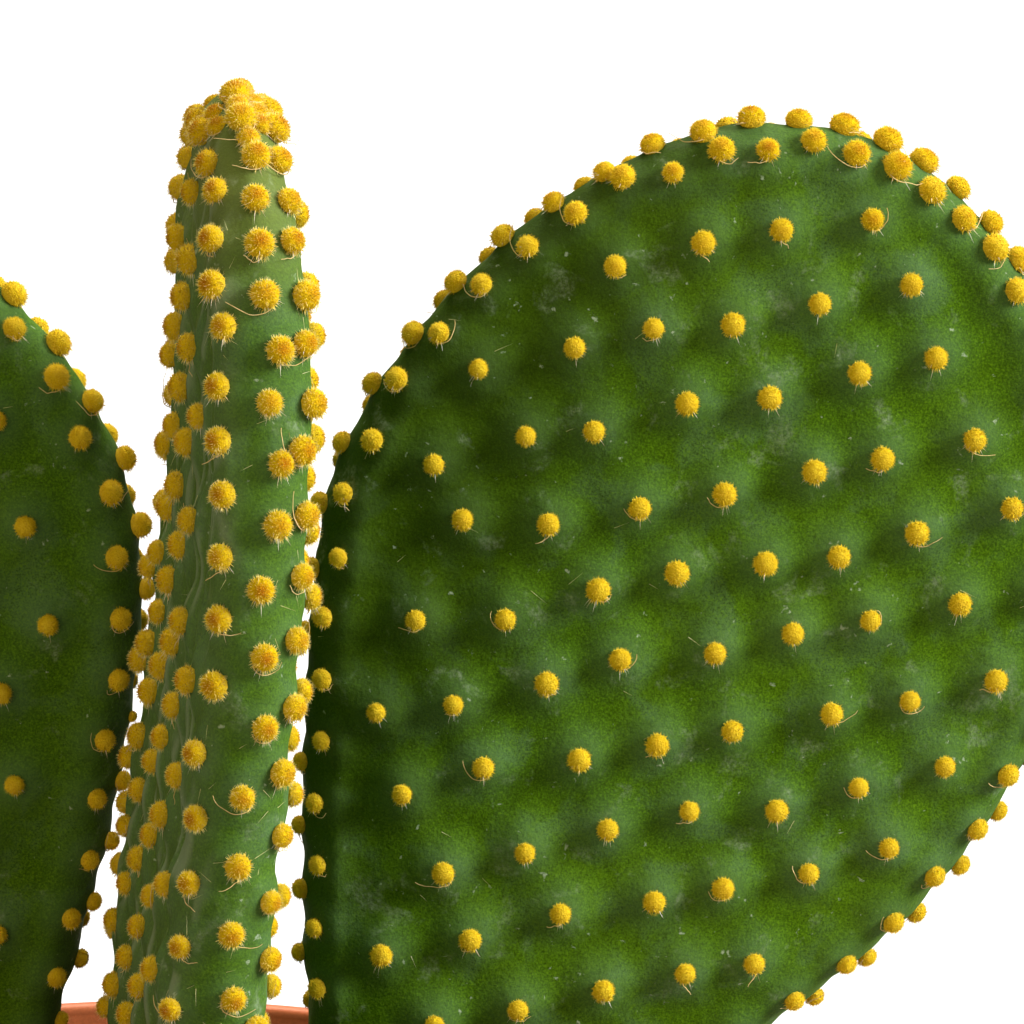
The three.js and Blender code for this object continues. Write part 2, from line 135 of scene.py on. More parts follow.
# ---- the pot's and the soil's measures, as in their solids ---------------------------------

POT_FOOT = 39.5
POT_SHOULDER = 52.6
POT_COLLAR = 56.6
POT_COLLAR_HEIGHT = 15
POT_EDGE = 1.2
POT_WALL = 2.2
DRAIN_HOLES = 6
DRAIN_RADIUS = 4.5
DRAIN_CIRCLE = 25
FLOOR_GAP = 0.3
WALL_GAP = 0.39
SOIL_TOP = 92
HOLE_CLEARANCE = 0.38

# ---- how fine the pieces are ---------------------------------------------------------------

SKIN_CELLS = 100  # from a face's centre to its rim
HOLE_CELLS = 24
CELLS_ON_FACE = 0.8  # the share of them that lies on the flat of the face
POT_SIDES = 192
DRAIN_SIDES = 40
SOIL_SIDES = 220
SOIL_RINGS = 123
PIECE_TRIANGLES = 196000  # that a pad's tufts may have
CORE_TRIANGLES = 80
BRISTLE_TRIANGLES = 4

# ---- the skin's relief ---------------------------------------------------------------------

SWELL_WIDTH = 2.0  # how wide the swelling under a tuft is
SWELL_FILL = 1.3  # how fully swellings that meet make one
BLOOM_WIDTH = 3.1  # how wide the bloom round a tuft is
SINK = 1.0  # how far the skin would lie below its smooth shape without tufts
FOLD_PITCH = 4.2  # from fold to fold on the left face of the middle pad
FOLD_DRIFT = 2.3  # how far the folds wander
THIN_SIDE = (-10, -37)  # from where to where, across a pad, its left side grows thinner
THIN_TOP = (56, 68)  # and how high above its centre its top does
RIPPLES = ((0.16, 17, 41, 4), (0.05, 3.2, 42, 2))  # of each: height, pitch, seed and layers

# ---- the tufts -----------------------------------------------------------------------------

AGE_GROWTH = 0.12  # how much larger the tufts high on the plant are
RIM_GROWTH = 0.2  # and those on the upper rim of a broad pad
CROWN_GROWTH = 0.06  # and those at the top of the middle pad
SIDE_LOSS = 0.14  # how much smaller those on the left of the right pad are
SEAT_DEPTH = 0.1  # how deep a tuft sits in the skin
CROWN_DEPTH = 4.4  # how far down from the middle pad's top further tufts stand between others
CROWN_GAP = 5.4  # the farthest that two tufts with another between them are apart
CROWN_SPACE = 1.9  # the nearest that it comes to any other
CROWN_SIZE = 0.82

# ---- the soil's top and the loose grains on it ---------------------------------------------

SOIL_EDGE = 1.2  # how much lower the top's edge is
RING_STEP = 0.008  # from ring to ring, over the radius of the top
LUMP_HEIGHT = 0.7
FREE_OF_PADS = 1.3  # how far from the pads grains lie
FREE_OF_WALL = 1.6  # and from the top's edge
LOWEST_GRAIN = 2.5  # how far below the top
STEEPEST = 0.2  # the least upward part of the normal of the ground under them


# ---- small helpers -------------------------------------------------------------------------

def stray(first, second):
    """A repeatable number from -1 to 1 for a pair of counts, as the solids use."""
    wave = math.sin(first * 12.9898 + second * 78.233) * 43758.5453
    return 2 * (wave - math.floor(wave)) - 1


def waves(points, pitch, seed, layers=4):
    """Smooth repeatable unevenness at points, about -1 to 1, from sines in random directions."""
    draws = np.random.default_rng(seed)
    total = np.zeros(len(points))
    finer, lower, sines, full = 0.62, 0.6, 5, 3.2
    for layer in range(layers):
        for _ in range(sines):
            direction = draws.normal(size=3)
            direction *= 2 * math.pi / (pitch * finer ** layer) / np.linalg.norm(direction)
            start = draws.uniform(0, 2 * math.pi)
            total += lower ** layer * np.sin(points @ direction + start)
    return total / full


def smooth_step(low, high, value):
    share = np.clip((value - low) / (high - low), 0, 1)
    return share * share * (3 - 2 * share)


def mesh_of(name, points, faces, smooth=True):
    """A mesh from points in millimetres."""
    mesh = bpy.data.meshes.new(name)
    faces = faces.tolist() if isinstance(faces, np.ndarray) else faces
    mesh.from_pydata((np.asarray(points) * MM).tolist(), [], faces)
    mesh.update()
    if smooth:
        mesh.polygons.foreach_set("use_smooth", [True] * len(mesh.polygons))
    return mesh


def object_of(name, data):
    piece = bpy.data.objects.new(name, data)
    bpy.context.scene.collection.objects.link(piece)
    return piece


def store(mesh, name, values, kind="FLOAT"):
    """Keeps one value or vector for each vertex under a name."""
    field = {"FLOAT": "value", "FLOAT_VECTOR": "vector"}[kind]
    attribute = mesh.attributes.new(name, kind, "POINT")
    attribute.data.foreach_set(field, np.asarray(values, dtype=np.float32).ravel())


def read_vectors(mesh, field):
    vectors = np.empty(3 * len(mesh.vertices), dtype=np.float32)
    mesh.vertices.foreach_get(field, vectors)
    return vectors.reshape(-1, 3).astype(float)


def normals_of(mesh):
    return read_vectors(mesh, "normal")


def places_of(mesh):
    """A mesh's points, in millimetres."""
    return read_vectors(mesh, "co") / MM


def move_to(mesh, places):
    """Moves a mesh's points to places in millimetres."""
    mesh.vertices.foreach_set("co", (places * MM).ravel())
    mesh.update()


def settle(piece, drop=()):
    """Turns a piece's modifiers into its plain mesh."""
    evaluated = piece.evaluated_get(bpy.context.evaluated_depsgraph_get())
    mesh = bpy.data.meshes.new_from_object(evaluated)
    before = piece.data
    piece.modifiers.clear()
    piece.data = mesh
    bpy.data.meshes.remove(before)
    mesh.name = piece.name
    for name in drop:
        if name in mesh.attributes:
            mesh.attributes.remove(mesh.attributes[name])
    return piece


def cut_away(piece, cutters):
    """Cuts other objects out of a piece, and removes them."""
    for cutter in cutters:
        cut = piece.modifiers.new("cut", "BOOLEAN")
        cut.operation = "DIFFERENCE"
        cut.solver = "EXACT"
        cut.object = cutter
    settle(piece)
    for cutter in cutters:
        bpy.data.objects.remove(cutter)


def paint(piece, material, sharp):
    """Gives a piece its one material, with a crease wherever it bends by more than an angle."""
    piece.data.materials.clear()
    piece.data.materials.append(material)
    piece.data.set_sharp_from_angle(angle=math.radians(sharp))


def hand_over(piece, slot, *nodes):
    """Hangs a finished piece on the frame."""
    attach(piece, "root")
    if nodes:
        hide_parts(*nodes)


def turned_mesh(name, profile, sides):
    """A closed mesh turned from [radius, height] pairs that start and end on the axis."""
    middle = profile[1:-1]
    angles = np.arange(sides) * 2 * math.pi / sides
    points = [(radius * math.cos(angle), radius * math.sin(angle), height)
              for radius, height in middle for angle in angles]
    points += [(0, 0, profile[0][1]), (0, 0, profile[-1][1])]
    low, high = len(points) - 2, len(points) - 1
    last = (len(middle) - 1) * sides
    faces = [(row + side, row + (side + 1) % sides,
              row + sides + (side + 1) % sides, row + sides + side)
             for row in range(0, last, sides) for side in range(sides)]
    for side in range(sides):
        ahead = (side + 1) % sides
        faces += [(low, ahead, side), (high, last + side, last + ahead)]
    return mesh_of(name, points, faces)


def rounded(corners, steps=4):
    """A profile whose corners, given as (radius, height, rounding), are turned into arcs."""
    result = []
    for count, (radius, height, rounding) in enumerate(corners):
        if rounding == 0:
            result.append((radius, height))
            continue
        here = np.array([radius, height])
        before = np.array(corners[count - 1][:2]) - here
        after = np.array(corners[count + 1][:2]) - here
        start = here + rounding * before / np.linalg.norm(before)
        end = here + rounding * after / np.linalg.norm(after)
        for step in range(steps + 1):
            share = step / steps
            point = (1 - share) ** 2 * start + 2 * share * (1 - share) * here + share ** 2 * end
            result.append(tuple(point))
    return result


# ---- the pads' shape -----------------------------------------------------------------------

class Pad:
    """One pad's smooth shape, by the same formulas as its solid."""

    def __init__(self, side, sizes):
        self.side = side
        self.sizes = sizes
        self.base = np.array(sizes["base"], dtype=float)
        turn = math.radians(sizes["turn"])
        lean = math.radians(sizes["lean"])
        level = np.array([math.cos(turn), math.sin(turn), 0])
        upright = np.array([0.0, 0, 1])
        self.across = level * math.cos(lean) - upright * math.sin(lean)
        self.along = upright * math.cos(lean) + level * math.sin(lean)
        self.out = np.cross(self.across, self.along)

    def laid(self, points):
        """Points as measured from the base: across, along and out of the pad's plane."""
        offset = points - self.base
        return offset @ self.across, offset @ self.along, offset @ self.out

    def egg_width(self, height, sideways):
        sizes = self.sizes
        upper = height > 0
        share = height / np.where(upper, sizes["above"], sizes["below"])
        side_power = np.where(sideways < 0, *sizes["side_powers"])
        power = np.where(upper, sizes["top_power"], side_power)
        soft = OUTLINE_SOFTNESS
        softened = (np.hypot(share, soft) - soft) / (math.hypot(1, soft) - soft)
        inside = np.clip(1 - softened ** power, 0, None) ** (1 / power)
        return np.where(sideways < 0, *sizes["widths"]) * inside

    def outline_width(self, height, sideways):
        egg = self.egg_width(height, sideways)
        to_end = -height / (self.sizes["below"] + self.sizes["neck_length"])
        on_neck = np.clip(to_end, 0, 1)
        neck = NECK_HALF_WIDTH * np.sqrt(1 - on_neck ** 12) * np.minimum(1, 2 * on_neck)
        joined = (egg ** 4 + neck ** 4) ** 0.25
        return np.where((height > 0) | (to_end >= 1), egg, joined)

    def distance(self, outline, angle):
        """How far an outline is from the pad's centre in a direction of its own plane."""
        angle = np.asarray(angle, dtype=float)
        sideways, upwards = np.cos(angle), np.sin(angle)
        longest = self.sizes["above"] + self.sizes["below"] + self.sizes["neck_length"]
        inside, outside = np.zeros(angle.shape), np.full(angle.shape, float(longest))
        for _ in range(30):
            middle = (inside + outside) / 2
            fits = np.abs(middle * sideways) < outline(middle * upwards, sideways)
            inside, outside = np.where(fits, middle, inside), np.where(fits, outside, middle)
        return inside

    def rim_distance(self, angle):
        return self.distance(self.outline_width, angle)

    def edge_start(self, angle):
        """The share of the way to the rim up to which a face is flat."""
        return 1 - EDGE_WIDTH / self.distance(self.egg_width, angle)

    def measure(self, angle):
        """How far from the centre each share of the way to the rim lies, as a function."""
        egg = self.distance(self.egg_width, angle)
        neck = self.rim_distance(angle) - egg
        return lambda reach: reach * egg + reach ** NECK_STRETCH * neck

    def reach(self, sideways, height):
        """The share of the way from the centre to the rim at which a place lies."""
        radius_at = self.measure(np.arctan2(height, sideways))
        radius = np.hypot(sideways, height)
        low, high = np.zeros(radius.shape), np.ones(radius.shape)
        for _ in range(24):
            middle = (low + high) / 2
            short = radius_at(middle) < radius
            low, high = np.where(short, middle, low), np.where(short, high, middle)
        return low

    def half_thickness(self, reach, edge, height):
        swell = 1 + self.sizes["base_swell"] * np.clip(-height / self.sizes["below"], 0, 1)
        domed = 1 + self.sizes["dome"] * (1 - reach ** DOME_POWER)
        return self.sizes["thickness"] * edge * domed * swell

    def bowed(self, height):
        rise = height + self.sizes["below"]
        return sum(factor * rise ** (power + 1) for power, factor in enumerate(self.sizes["bow"]))

    def point(self, angle, share, face):
        """The place at a share (0 to 1) of the way from a face's centre to the rim."""
        angle = np.asarray(angle, dtype=float)
        turn_over = np.maximum(0, (share - FACE_SHARE) / (1 - FACE_SHARE)) * (math.pi / 2)
        start = self.edge_start(angle)
        reach = start * np.minimum(1, share / FACE_SHARE) + (1 - start) * np.sin(turn_over)
        radius = self.measure(angle)(reach)
        height = radius * np.sin(angle)
        depth = face * self.half_thickness(reach, np.cos(turn_over), height) + self.bowed(height)
        return (self.base + np.multiply.outer(radius * np.cos(angle), self.across)
                + np.multiply.outer(height + self.sizes["below"], self.along)
                + np.multiply.outer(depth, self.out))

    def is_near(self, points, margin):
        """Which points lie within a margin of the smooth surface."""
        sideways, height, depth = self.laid(points)
        height = height - self.sizes["below"]
        angle = np.arctan2(height, sideways)
        reach = self.reach(sideways, height)
        start = self.edge_start(angle)
        edge = np.sqrt(1 - np.maximum(0, (reach - start) / (1 - start)) ** 2)
        within = np.hypot(sideways, height) < self.rim_distance(angle) + margin
        thick = self.half_thickness(reach, edge, height) + margin
        return within & (np.abs(depth - self.bowed(height)) < thick)

    # ---- where the tufts grow --------------------------------------------------------------

    def face_tufts(self, face):
        sizes = self.sizes
        columns = math.ceil(max(sizes["widths"]) / COLUMN_PITCH)
        rows = math.ceil((sizes["above"] + sizes["below"]) / sizes["row_pitch"])
        places = []
        for column in range(-columns, columns + 1):
            raised = (column % 2) / 2 + (0 if face > 0 else BACK_SHIFT)
            for row in range(-rows, rows + 1):
                height = (row + raised) * sizes["row_pitch"] + sizes["phase"]
                aside = SCATTER * stray(column + 40 * face, row)
                up = SCATTER * stray(row, column * face + 9)
                places.append((column * COLUMN_PITCH + aside, height + up))
        sideways, height = np.array(places).T
        angle = np.arctan2(height, sideways)
        room = self.rim_distance(angle) - np.hypot(sideways, height)
        reach = self.reach(sideways, height)
        start = self.edge_start(angle)
        turn_over = np.arcsin(np.maximum(0, (reach - start) / (1 - start)))
        share = FACE_SHARE * np.minimum(1, reach / start)
        share = share + (1 - FACE_SHARE) * turn_over / (math.pi / 2)
        kept = room > RIM_MARGIN
        return self.point(angle[kept], share[kept], face)

    def rim_tufts(self):
        rows = ((RIM_ROW, 1), (1, 1), (RIM_ROW, -1))
        angles = -math.pi / 2 + 2 * math.pi * np.arange(RIM_STEPS + 1) / RIM_STEPS
        distance = self.rim_distance(angles)
        outline = np.stack([distance * np.cos(angles), distance * np.sin(angles)], -1)
        steps = np.linalg.norm(np.diff(outline, axis=0), axis=1)
        walked = RIM_PITCH / 2
        places = []
        for angle, step in zip(angles, [0, *steps]):
            walked += step
            pitch = RIM_PITCH * (1 - RIM_CROWDING * max(0, math.sin(angle)) ** 4)
            if walked >= pitch:
                walked -= pitch
                row, face = rows[len(places) % len(rows)]
                inward = RIM_STRAY * abs(stray(len(places), 3))
                places.append((angle, row - inward, face))
        angle, share, face = np.array(places).T
        return self.point(angle, share, face)

    def tufts(self):
        """The places of all tufts, those of the rim first."""
        rim = self.rim_tufts()
        faces = np.concatenate([self.face_tufts(1), self.face_tufts(-1)])
        gaps = np.linalg.norm(faces[:, None] - rim[None], axis=2).min(axis=1)
        places = np.concatenate([rim, faces[gaps > TUFT_SPACING]])
        return places[(places - self.base) @ self.along >= BARE_FOOT]


def disc_cells(cells):
    """Angles and shares of the way to the rim, for a square grid laid over a disc."""
    line = np.linspace(-1, 1, 2 * cells + 1)
    x, y = np.meshgrid(line, line)
    is_wide = np.abs(x) > np.abs(y)
    steep = np.where(y == 0, 1, y)
    wide = np.where(x == 0, 1, x)
    angle = np.where(is_wide, math.pi / 4 * y / wide + math.pi * (x < 0),
                     math.pi / 2 - math.pi / 4 * x / steep + math.pi * (y < 0))
    return angle, np.maximum(np.abs(x), np.abs(y))


def grid_quads(grid):
    corners = [grid[:-1, :-1], grid[:-1, 1:], grid[1:, 1:], grid[1:, :-1]]
    return np.stack(corners, -1).reshape(-1, 4)


def pad_surface(pad, cells):
    """A pad's smooth skin as points, quads, shares of the way to the rim, and faces (1 or -1)."""
    angle, laid = disc_cells(cells)
    share = np.interp(laid, (0, CELLS_ON_FACE, 1), (0, FACE_SHARE, 1))
    front = np.arange(share.size).reshape(share.shape)
    inner = laid < 1
    back = front.copy()
    back[inner] = share.size + np.arange(np.count_nonzero(inner))
    points = np.concatenate([pad.point(angle.ravel(), share.ravel(), 1),
                             pad.point(angle[inner], share[inner], -1)])
    quads = np.concatenate([grid_quads(front), grid_quads(back)[:, ::-1]])
    shares = np.concatenate([share.ravel(), share[inner]])
    return points, quads, shares, np.where(np.arange(len(points)) < share.size, 1, -1)


def is_near_lip(points, margin):
    """Which points lie within a margin of the pot's lip."""
    lip = POT_WALL / 2
    aside = np.hypot(points[:, 0], points[:, 1]) - (POT_HIGH[0] / MM - lip)
    return np.hypot(aside, points[:, 2] - (POT_HIGH[2] / MM - lip)) < lip + margin


def crown_places(places):
    """Further tufts between those that crowd at a narrow pad's top."""
    top = places[places[:, 2] > places[:, 2].max() - CROWN_DEPTH]
    gaps = np.linalg.norm(top[:, None] - top[None], axis=2)
    kept = top
    for first, second in np.argwhere(np.triu(gaps < CROWN_GAP, 1)):
        middle = (top[first] + top[second]) / 2
        if np.linalg.norm(kept - middle, axis=1).min() > CROWN_SPACE:
            kept = np.concatenate([kept, [middle]])
    return kept[len(top):]


@functools.lru_cache(maxsize=None)
def grown_pads():
    """Each pad with the place, outward direction and radius of each of its tufts."""
    pads = {side: Pad(side, sizes) for side, sizes in PADS.items()}
    grown = {}
    for side, pad in pads.items():
        points, quads, shares, faces = pad_surface(pad, SKIN_CELLS)
        smooth = mesh_of("smooth", points, quads)
        normals = normals_of(smooth)
        bpy.data.meshes.remove(smooth)
        places = pad.tufts()
        growth = [1 + TUFT_VARIATION * stray(count, 5) for count in range(len(places))]
        if side == "middle":
            crown = crown_places(places)
            growth += [CROWN_SIZE] * len(crown)
            places = np.concatenate([places, crown])
        near = np.array([np.argmin(((points - place) ** 2).sum(axis=1)) for place in places])
        axes = normals[near]
        radius = pad.sizes["tuft_radius"]
        summits = places + axes * TUFT_HEIGHT * radius
        others = [other for other in pads.values() if other is not pad]
        tight = np.any([is_near_lip(summits, TIGHT_CLEARANCE),
                        *(other.is_near(summits, TIGHT_CLEARANCE) for other in others)], axis=0)
        grown[side] = {
            "pad": pad, "points": points, "quads": quads, "shares": shares, "faces": faces,
            "normals": normals, "places": places, "axes": axes, "place_shares": shares[near],
            "radii": radius * np.array(growth) * np.where(tight, PRESSED, 1),
        }
    return grown


def skin_lift(grown, points, normals, shares, relief):
    """How far the skin stands out at points of a pad: up under the tufts, down between them."""
    swell = np.zeros(len(points))
    nearest = np.full(len(points), np.inf)
    for place in grown["places"]:
        squared = ((points - place) ** 2).sum(axis=1)
        swell += np.exp(-squared / (2 * SWELL_WIDTH ** 2))
        nearest = np.minimum(nearest, squared)
    pad = grown["pad"]
    aside, height, _ = pad.laid(points)
    covered = smooth_step(4, BARE_FOOT, height)
    even_rim = 1 - 0.25 * smooth_step(0.86, 0.95, shares)
    lift = (relief * (1 - np.exp(-SWELL_FILL * swell)) - SINK) * covered * even_rim
    inner = 0.3 + 0.7 * smooth_step(1.0, 0.55, shares)
    lift -= pad.sizes["thin_side"] * smooth_step(*THIN_SIDE, aside) * covered * inner
    broadside = normals @ pad.out
    high = smooth_step(*THIN_TOP, height - pad.sizes["below"])
    lift -= pad.sizes["thin_top"] * high * np.abs(broadside) * (1 - 0.3 * broadside)
    lift += sum(rise * waves(points, *wave) for rise, *wave in RIPPLES)
    return lift, np.exp(-nearest / BLOOM_WIDTH ** 2) * covered


# ---- node trees ----------------------------------------------------------------------------

class Term:
    """An output of a node, to reckon with like a number or a vector."""

    def __init__(self, board, socket):
        self.board = board
        self.socket = socket
        self.is_vector = socket.type in ("VECTOR", "RGBA")

    def __getitem__(self, name):
        """Another output of the same node."""
        return Term(self.board, self.socket.node.outputs[name])

    def __add__(self, other):
        return self.board.math("ADD", self, other)

    def __sub__(self, other):
        return self.board.math("SUBTRACT", self, other)

    def __rsub__(self, other):
        return self.board.math("SUBTRACT", other, self)

    def __mul__(self, other):
        is_scaled = self.is_vector and not getattr(other, "is_vector", False)
        return self.board.math("SCALE" if is_scaled else "MULTIPLY", self, other)

    def __truediv__(self, other):
        return self.board.math("DIVIDE", self, other)


class Board:
    """Places nodes on a tree. A value that is an output is linked, any other value is set."""

    def __init__(self, tree):
        self.tree = tree

    def node(self, kind, *values, named=None, **settings):
        node = self.tree.nodes.new(kind)
        for name, value in settings.items():
            setattr(node, name, value)
        sockets = [socket for socket in node.inputs if socket.enabled]
        for socket, value in zip(sockets, values):
            self.feed(socket, value)
        for name, value in (named or {}).items():
            self.feed(next(socket for socket in sockets if socket.name == name), value)
        return node

    def feed(self, socket, value):
        if isinstance(value, Term):
            self.tree.links.new(value.socket, socket)
        elif value is not None:
            socket.default_value = value

    def put(self, kind, *values, named=None, **settings):
        """The first output of a new node."""
        node = self.node(kind, *values, named=named, **settings)
        return Term(self, next(socket for socket in node.outputs if socket.enabled))

    def given_by(self, group_input):
        """The inputs of a node group, by their names."""
        return {socket.name: Term(self, socket) for socket in group_input.outputs}

    def math(self, operation, first, *others):
        """An operation on numbers, or on vectors where the first value is one."""
        is_vector = getattr(first, "is_vector", False)
        kind = "ShaderNodeVectorMath" if is_vector else "ShaderNodeMath"
        return self.put(kind, first, *others, operation=operation)

    def mix(self, factor, first, second):
        return self.put("ShaderNodeMix", factor, first, second, data_type="RGBA")

    def spread(self, value, low, high, start=0.0, end=1.0, **settings):
        """A value's place between low and high, from start to end."""
        return self.put("ShaderNodeMapRange", value, low, high, start, end, **settings)

    def noise(self, vector, scale, detail=2.0, roughness=0.5, distortion=0.0):
        return self.put("ShaderNodeTexNoise", named={
            "Vector": vector, "Scale": scale, "Detail": detail, "Roughness": roughness,
            "Distortion": distortion})


class GeometryBoard(Board):
    """A Geometry Nodes tree with named inputs."""

    def __init__(self, name, inputs):
        super().__init__(bpy.data.node_groups.new(name, "GeometryNodeTree"))
        kinds = {"Geometry": "NodeSocketGeometry", "Material": "NodeSocketMaterial"}
        numbers = {int: "NodeSocketInt", float: "NodeSocketFloat"}
        for label, default in {"Geometry": None, **inputs, "Material": None}.items():
            kind = kinds.get(label) or numbers[type(default)]
            socket = self.tree.interface.new_socket(name=label, in_out="INPUT", socket_type=kind)
            if default is not None:
                socket.default_value = default
        self.tree.interface.new_socket(name="Geometry", in_out="OUTPUT",
                                       socket_type="NodeSocketGeometry")
        self.given = self.given_by(self.tree.nodes.new("NodeGroupInput"))
        self.index = self.put("GeometryNodeInputIndex")

    def attribute(self, name, kind="FLOAT"):
        return self.put("GeometryNodeInputNamedAttribute", name, data_type=kind)

    def vectors(self, *names):
        """Vectors that are kept on the points under names."""
        return [self.attribute(name, "FLOAT_VECTOR") for name in names]

    def keep(self, geometry, **values):
        """Stores values on a geometry's points under their names."""
        for name, value in values.items():
            kind = "FLOAT_VECTOR" if getattr(value, "is_vector", False) else "FLOAT"
            geometry = self.put("GeometryNodeStoreNamedAttribute", geometry, data_type=kind,
                                named={"Name": name, "Value": value}, domain="POINT")
        return geometry

    def random(self, low, high, turn):
        """A random number for each point. Each turn draws others."""
        return self.put("FunctionNodeRandomValue", low, high, self.index,
                        self.given["Seed"] + turn, data_type="FLOAT")

    def triple(self, x, y, z):
        return self.put("ShaderNodeCombineXYZ", x, y, z)

    def point_for_each_vertex(self):
        return self.put("GeometryNodeMeshToPoints", self.given["Geometry"], mode="VERTICES")

    def strewn_points(self, mask):
        """Points strewn over the surface, as densely as a mask says."""
        density = self.given["Density"] * self.attribute(mask)
        return self.put("GeometryNodeDistributePointsOnFaces", self.given["Geometry"],
                        named={"Density": density, "Seed": self.given["Seed"]},
                        distribute_method="RANDOM")

    def spike(self):
        """A three-sided spike of unit size."""
        return self.put("GeometryNodeMeshCone", 3, 1, 1, 0.0, 1.0, 1.0, fill_type="NGON")

    def height(self):
        return self.put("ShaderNodeSeparateXYZ", self.put("GeometryNodeInputPosition"))["Z"]

    def moved(self, geometry, offset):
        return self.put("GeometryNodeSetPosition", geometry, named={"Offset": offset})

    def copies(self, points, shape, rotation=None, scale=None, chosen=None):
        """A copy of a shape on each point, or on the chosen ones."""
        return self.put("GeometryNodeInstanceOnPoints", points, named={
            "Instance": shape, "Rotation": rotation, "Scale": scale, "Selection": chosen})

    def aligned(self, vector):
        return self.put("FunctionNodeAlignRotationToVector", named={"Vector": vector}, axis="Z")

    def realized(self, geometry):
        return self.put("GeometryNodeRealizeInstances", geometry)

    def finish(self, geometry):
        painted = self.put("GeometryNodeSetMaterial", self.realized(geometry),
                           named={"Material": self.given["Material"]})
        self.node("NodeGroupOutput", painted)
        return self.tree


def grow(piece, tree, drop=(), **inputs):
    """Runs a Geometry Nodes tree on a piece and keeps the result as its plain mesh."""
    modifier = piece.modifiers.new("grow", "NODES")
    modifier.node_group = tree
    identifiers = {item.name: item.identifier for item in tree.interface.items_tree
                   if item.item_type == "SOCKET" and item.in_out == "INPUT"}
    for name, value in inputs.items():
        modifier[identifiers[name.replace("_", " ").capitalize()]] = value
    return settle(piece, drop)


@functools.lru_cache(maxsize=None)
def bristle_tree():
    """Tufts: bristles that spread evenly from each point over a flattened ball, round a core."""
    board = GeometryBoard("bristle_tuft", {
        "Bristles": 120, "Reach": 1.0, "Root": 0.35, "Lift": 0.2, "Flatness": 0.85, "Spread": 1.2,
        "Thickness": 0.00005, "Variation": 0.08, "Droop": 0.0, "Core": 0.0, "Seed": 1})
    given = board.given
    usual_size = 1.5 * MM
    start = board.point_for_each_vertex()
    points = board.put("GeometryNodeDuplicateElements", start,
                       named={"Amount": given["Bristles"]}, domain="POINT")
    count = points["Duplicate Index"]
    axis, down = board.vectors("axis", "down")
    side = board.math("CROSS_PRODUCT", axis, down)
    size = board.attribute("size")
    share = (count + 0.5) / given["Bristles"]
    cosine = 1.0 - share * given["Spread"]
    sine = board.math("SQRT", 1.0 - cosine * cosine)
    turn = count * GOLDEN_ANGLE + board.attribute("twist") + board.random(-0.5, 0.5, 0)
    falling = board.math("COSINE", turn)
    outward = (down * falling + side * board.math("SINE", turn)) * sine
    uneven = board.random(-1.0, 1.0, 1) * given["Variation"] + 1.0
    sagging = board.math("MAXIMUM", falling * sine, 0.0) * given["Droop"] + 1.0
    reach = uneven * sagging * given["Reach"] * size
    tip = (axis * (cosine * given["Flatness"]) + outward) * reach
    root = tip * given["Root"]
    lift = axis * (size * given["Lift"])
    points = board.keep(points, length=tip - root, spread=share, tone=board.random(0.0, 1.0, 2))
    points = board.moved(points, lift + root)
    height = board.height()
    length, = board.vectors("length")
    width = given["Thickness"] * (size * (1 / usual_size))
    bristles = board.copies(points, board.keep(board.spike(), along=height),
                            board.aligned(length),
                            board.triple(width, width, board.math("LENGTH", length)))

    ball = board.put("GeometryNodeSetShadeSmooth", board.put("GeometryNodeMeshIcoSphere", 1.0, 2))
    ball = board.keep(ball, along=0.35, spread=(1.0 - height) * 0.7)
    core = size * given["Core"]
    cores = board.copies(board.keep(board.moved(start, lift), tone=0.4), ball,
                         board.aligned(axis), board.triple(core, core, core * given["Flatness"]),
                         board.put("FunctionNodeCompare", given["Core"], 0.0, data_type="FLOAT",
                                   operation="GREATER_THAN"))
    joined = board.node("GeometryNodeJoinGeometry")
    for part in (bristles, cores):
        board.feed(joined.inputs[0], part)
    return board.finish(Term(board, joined.outputs[0]))


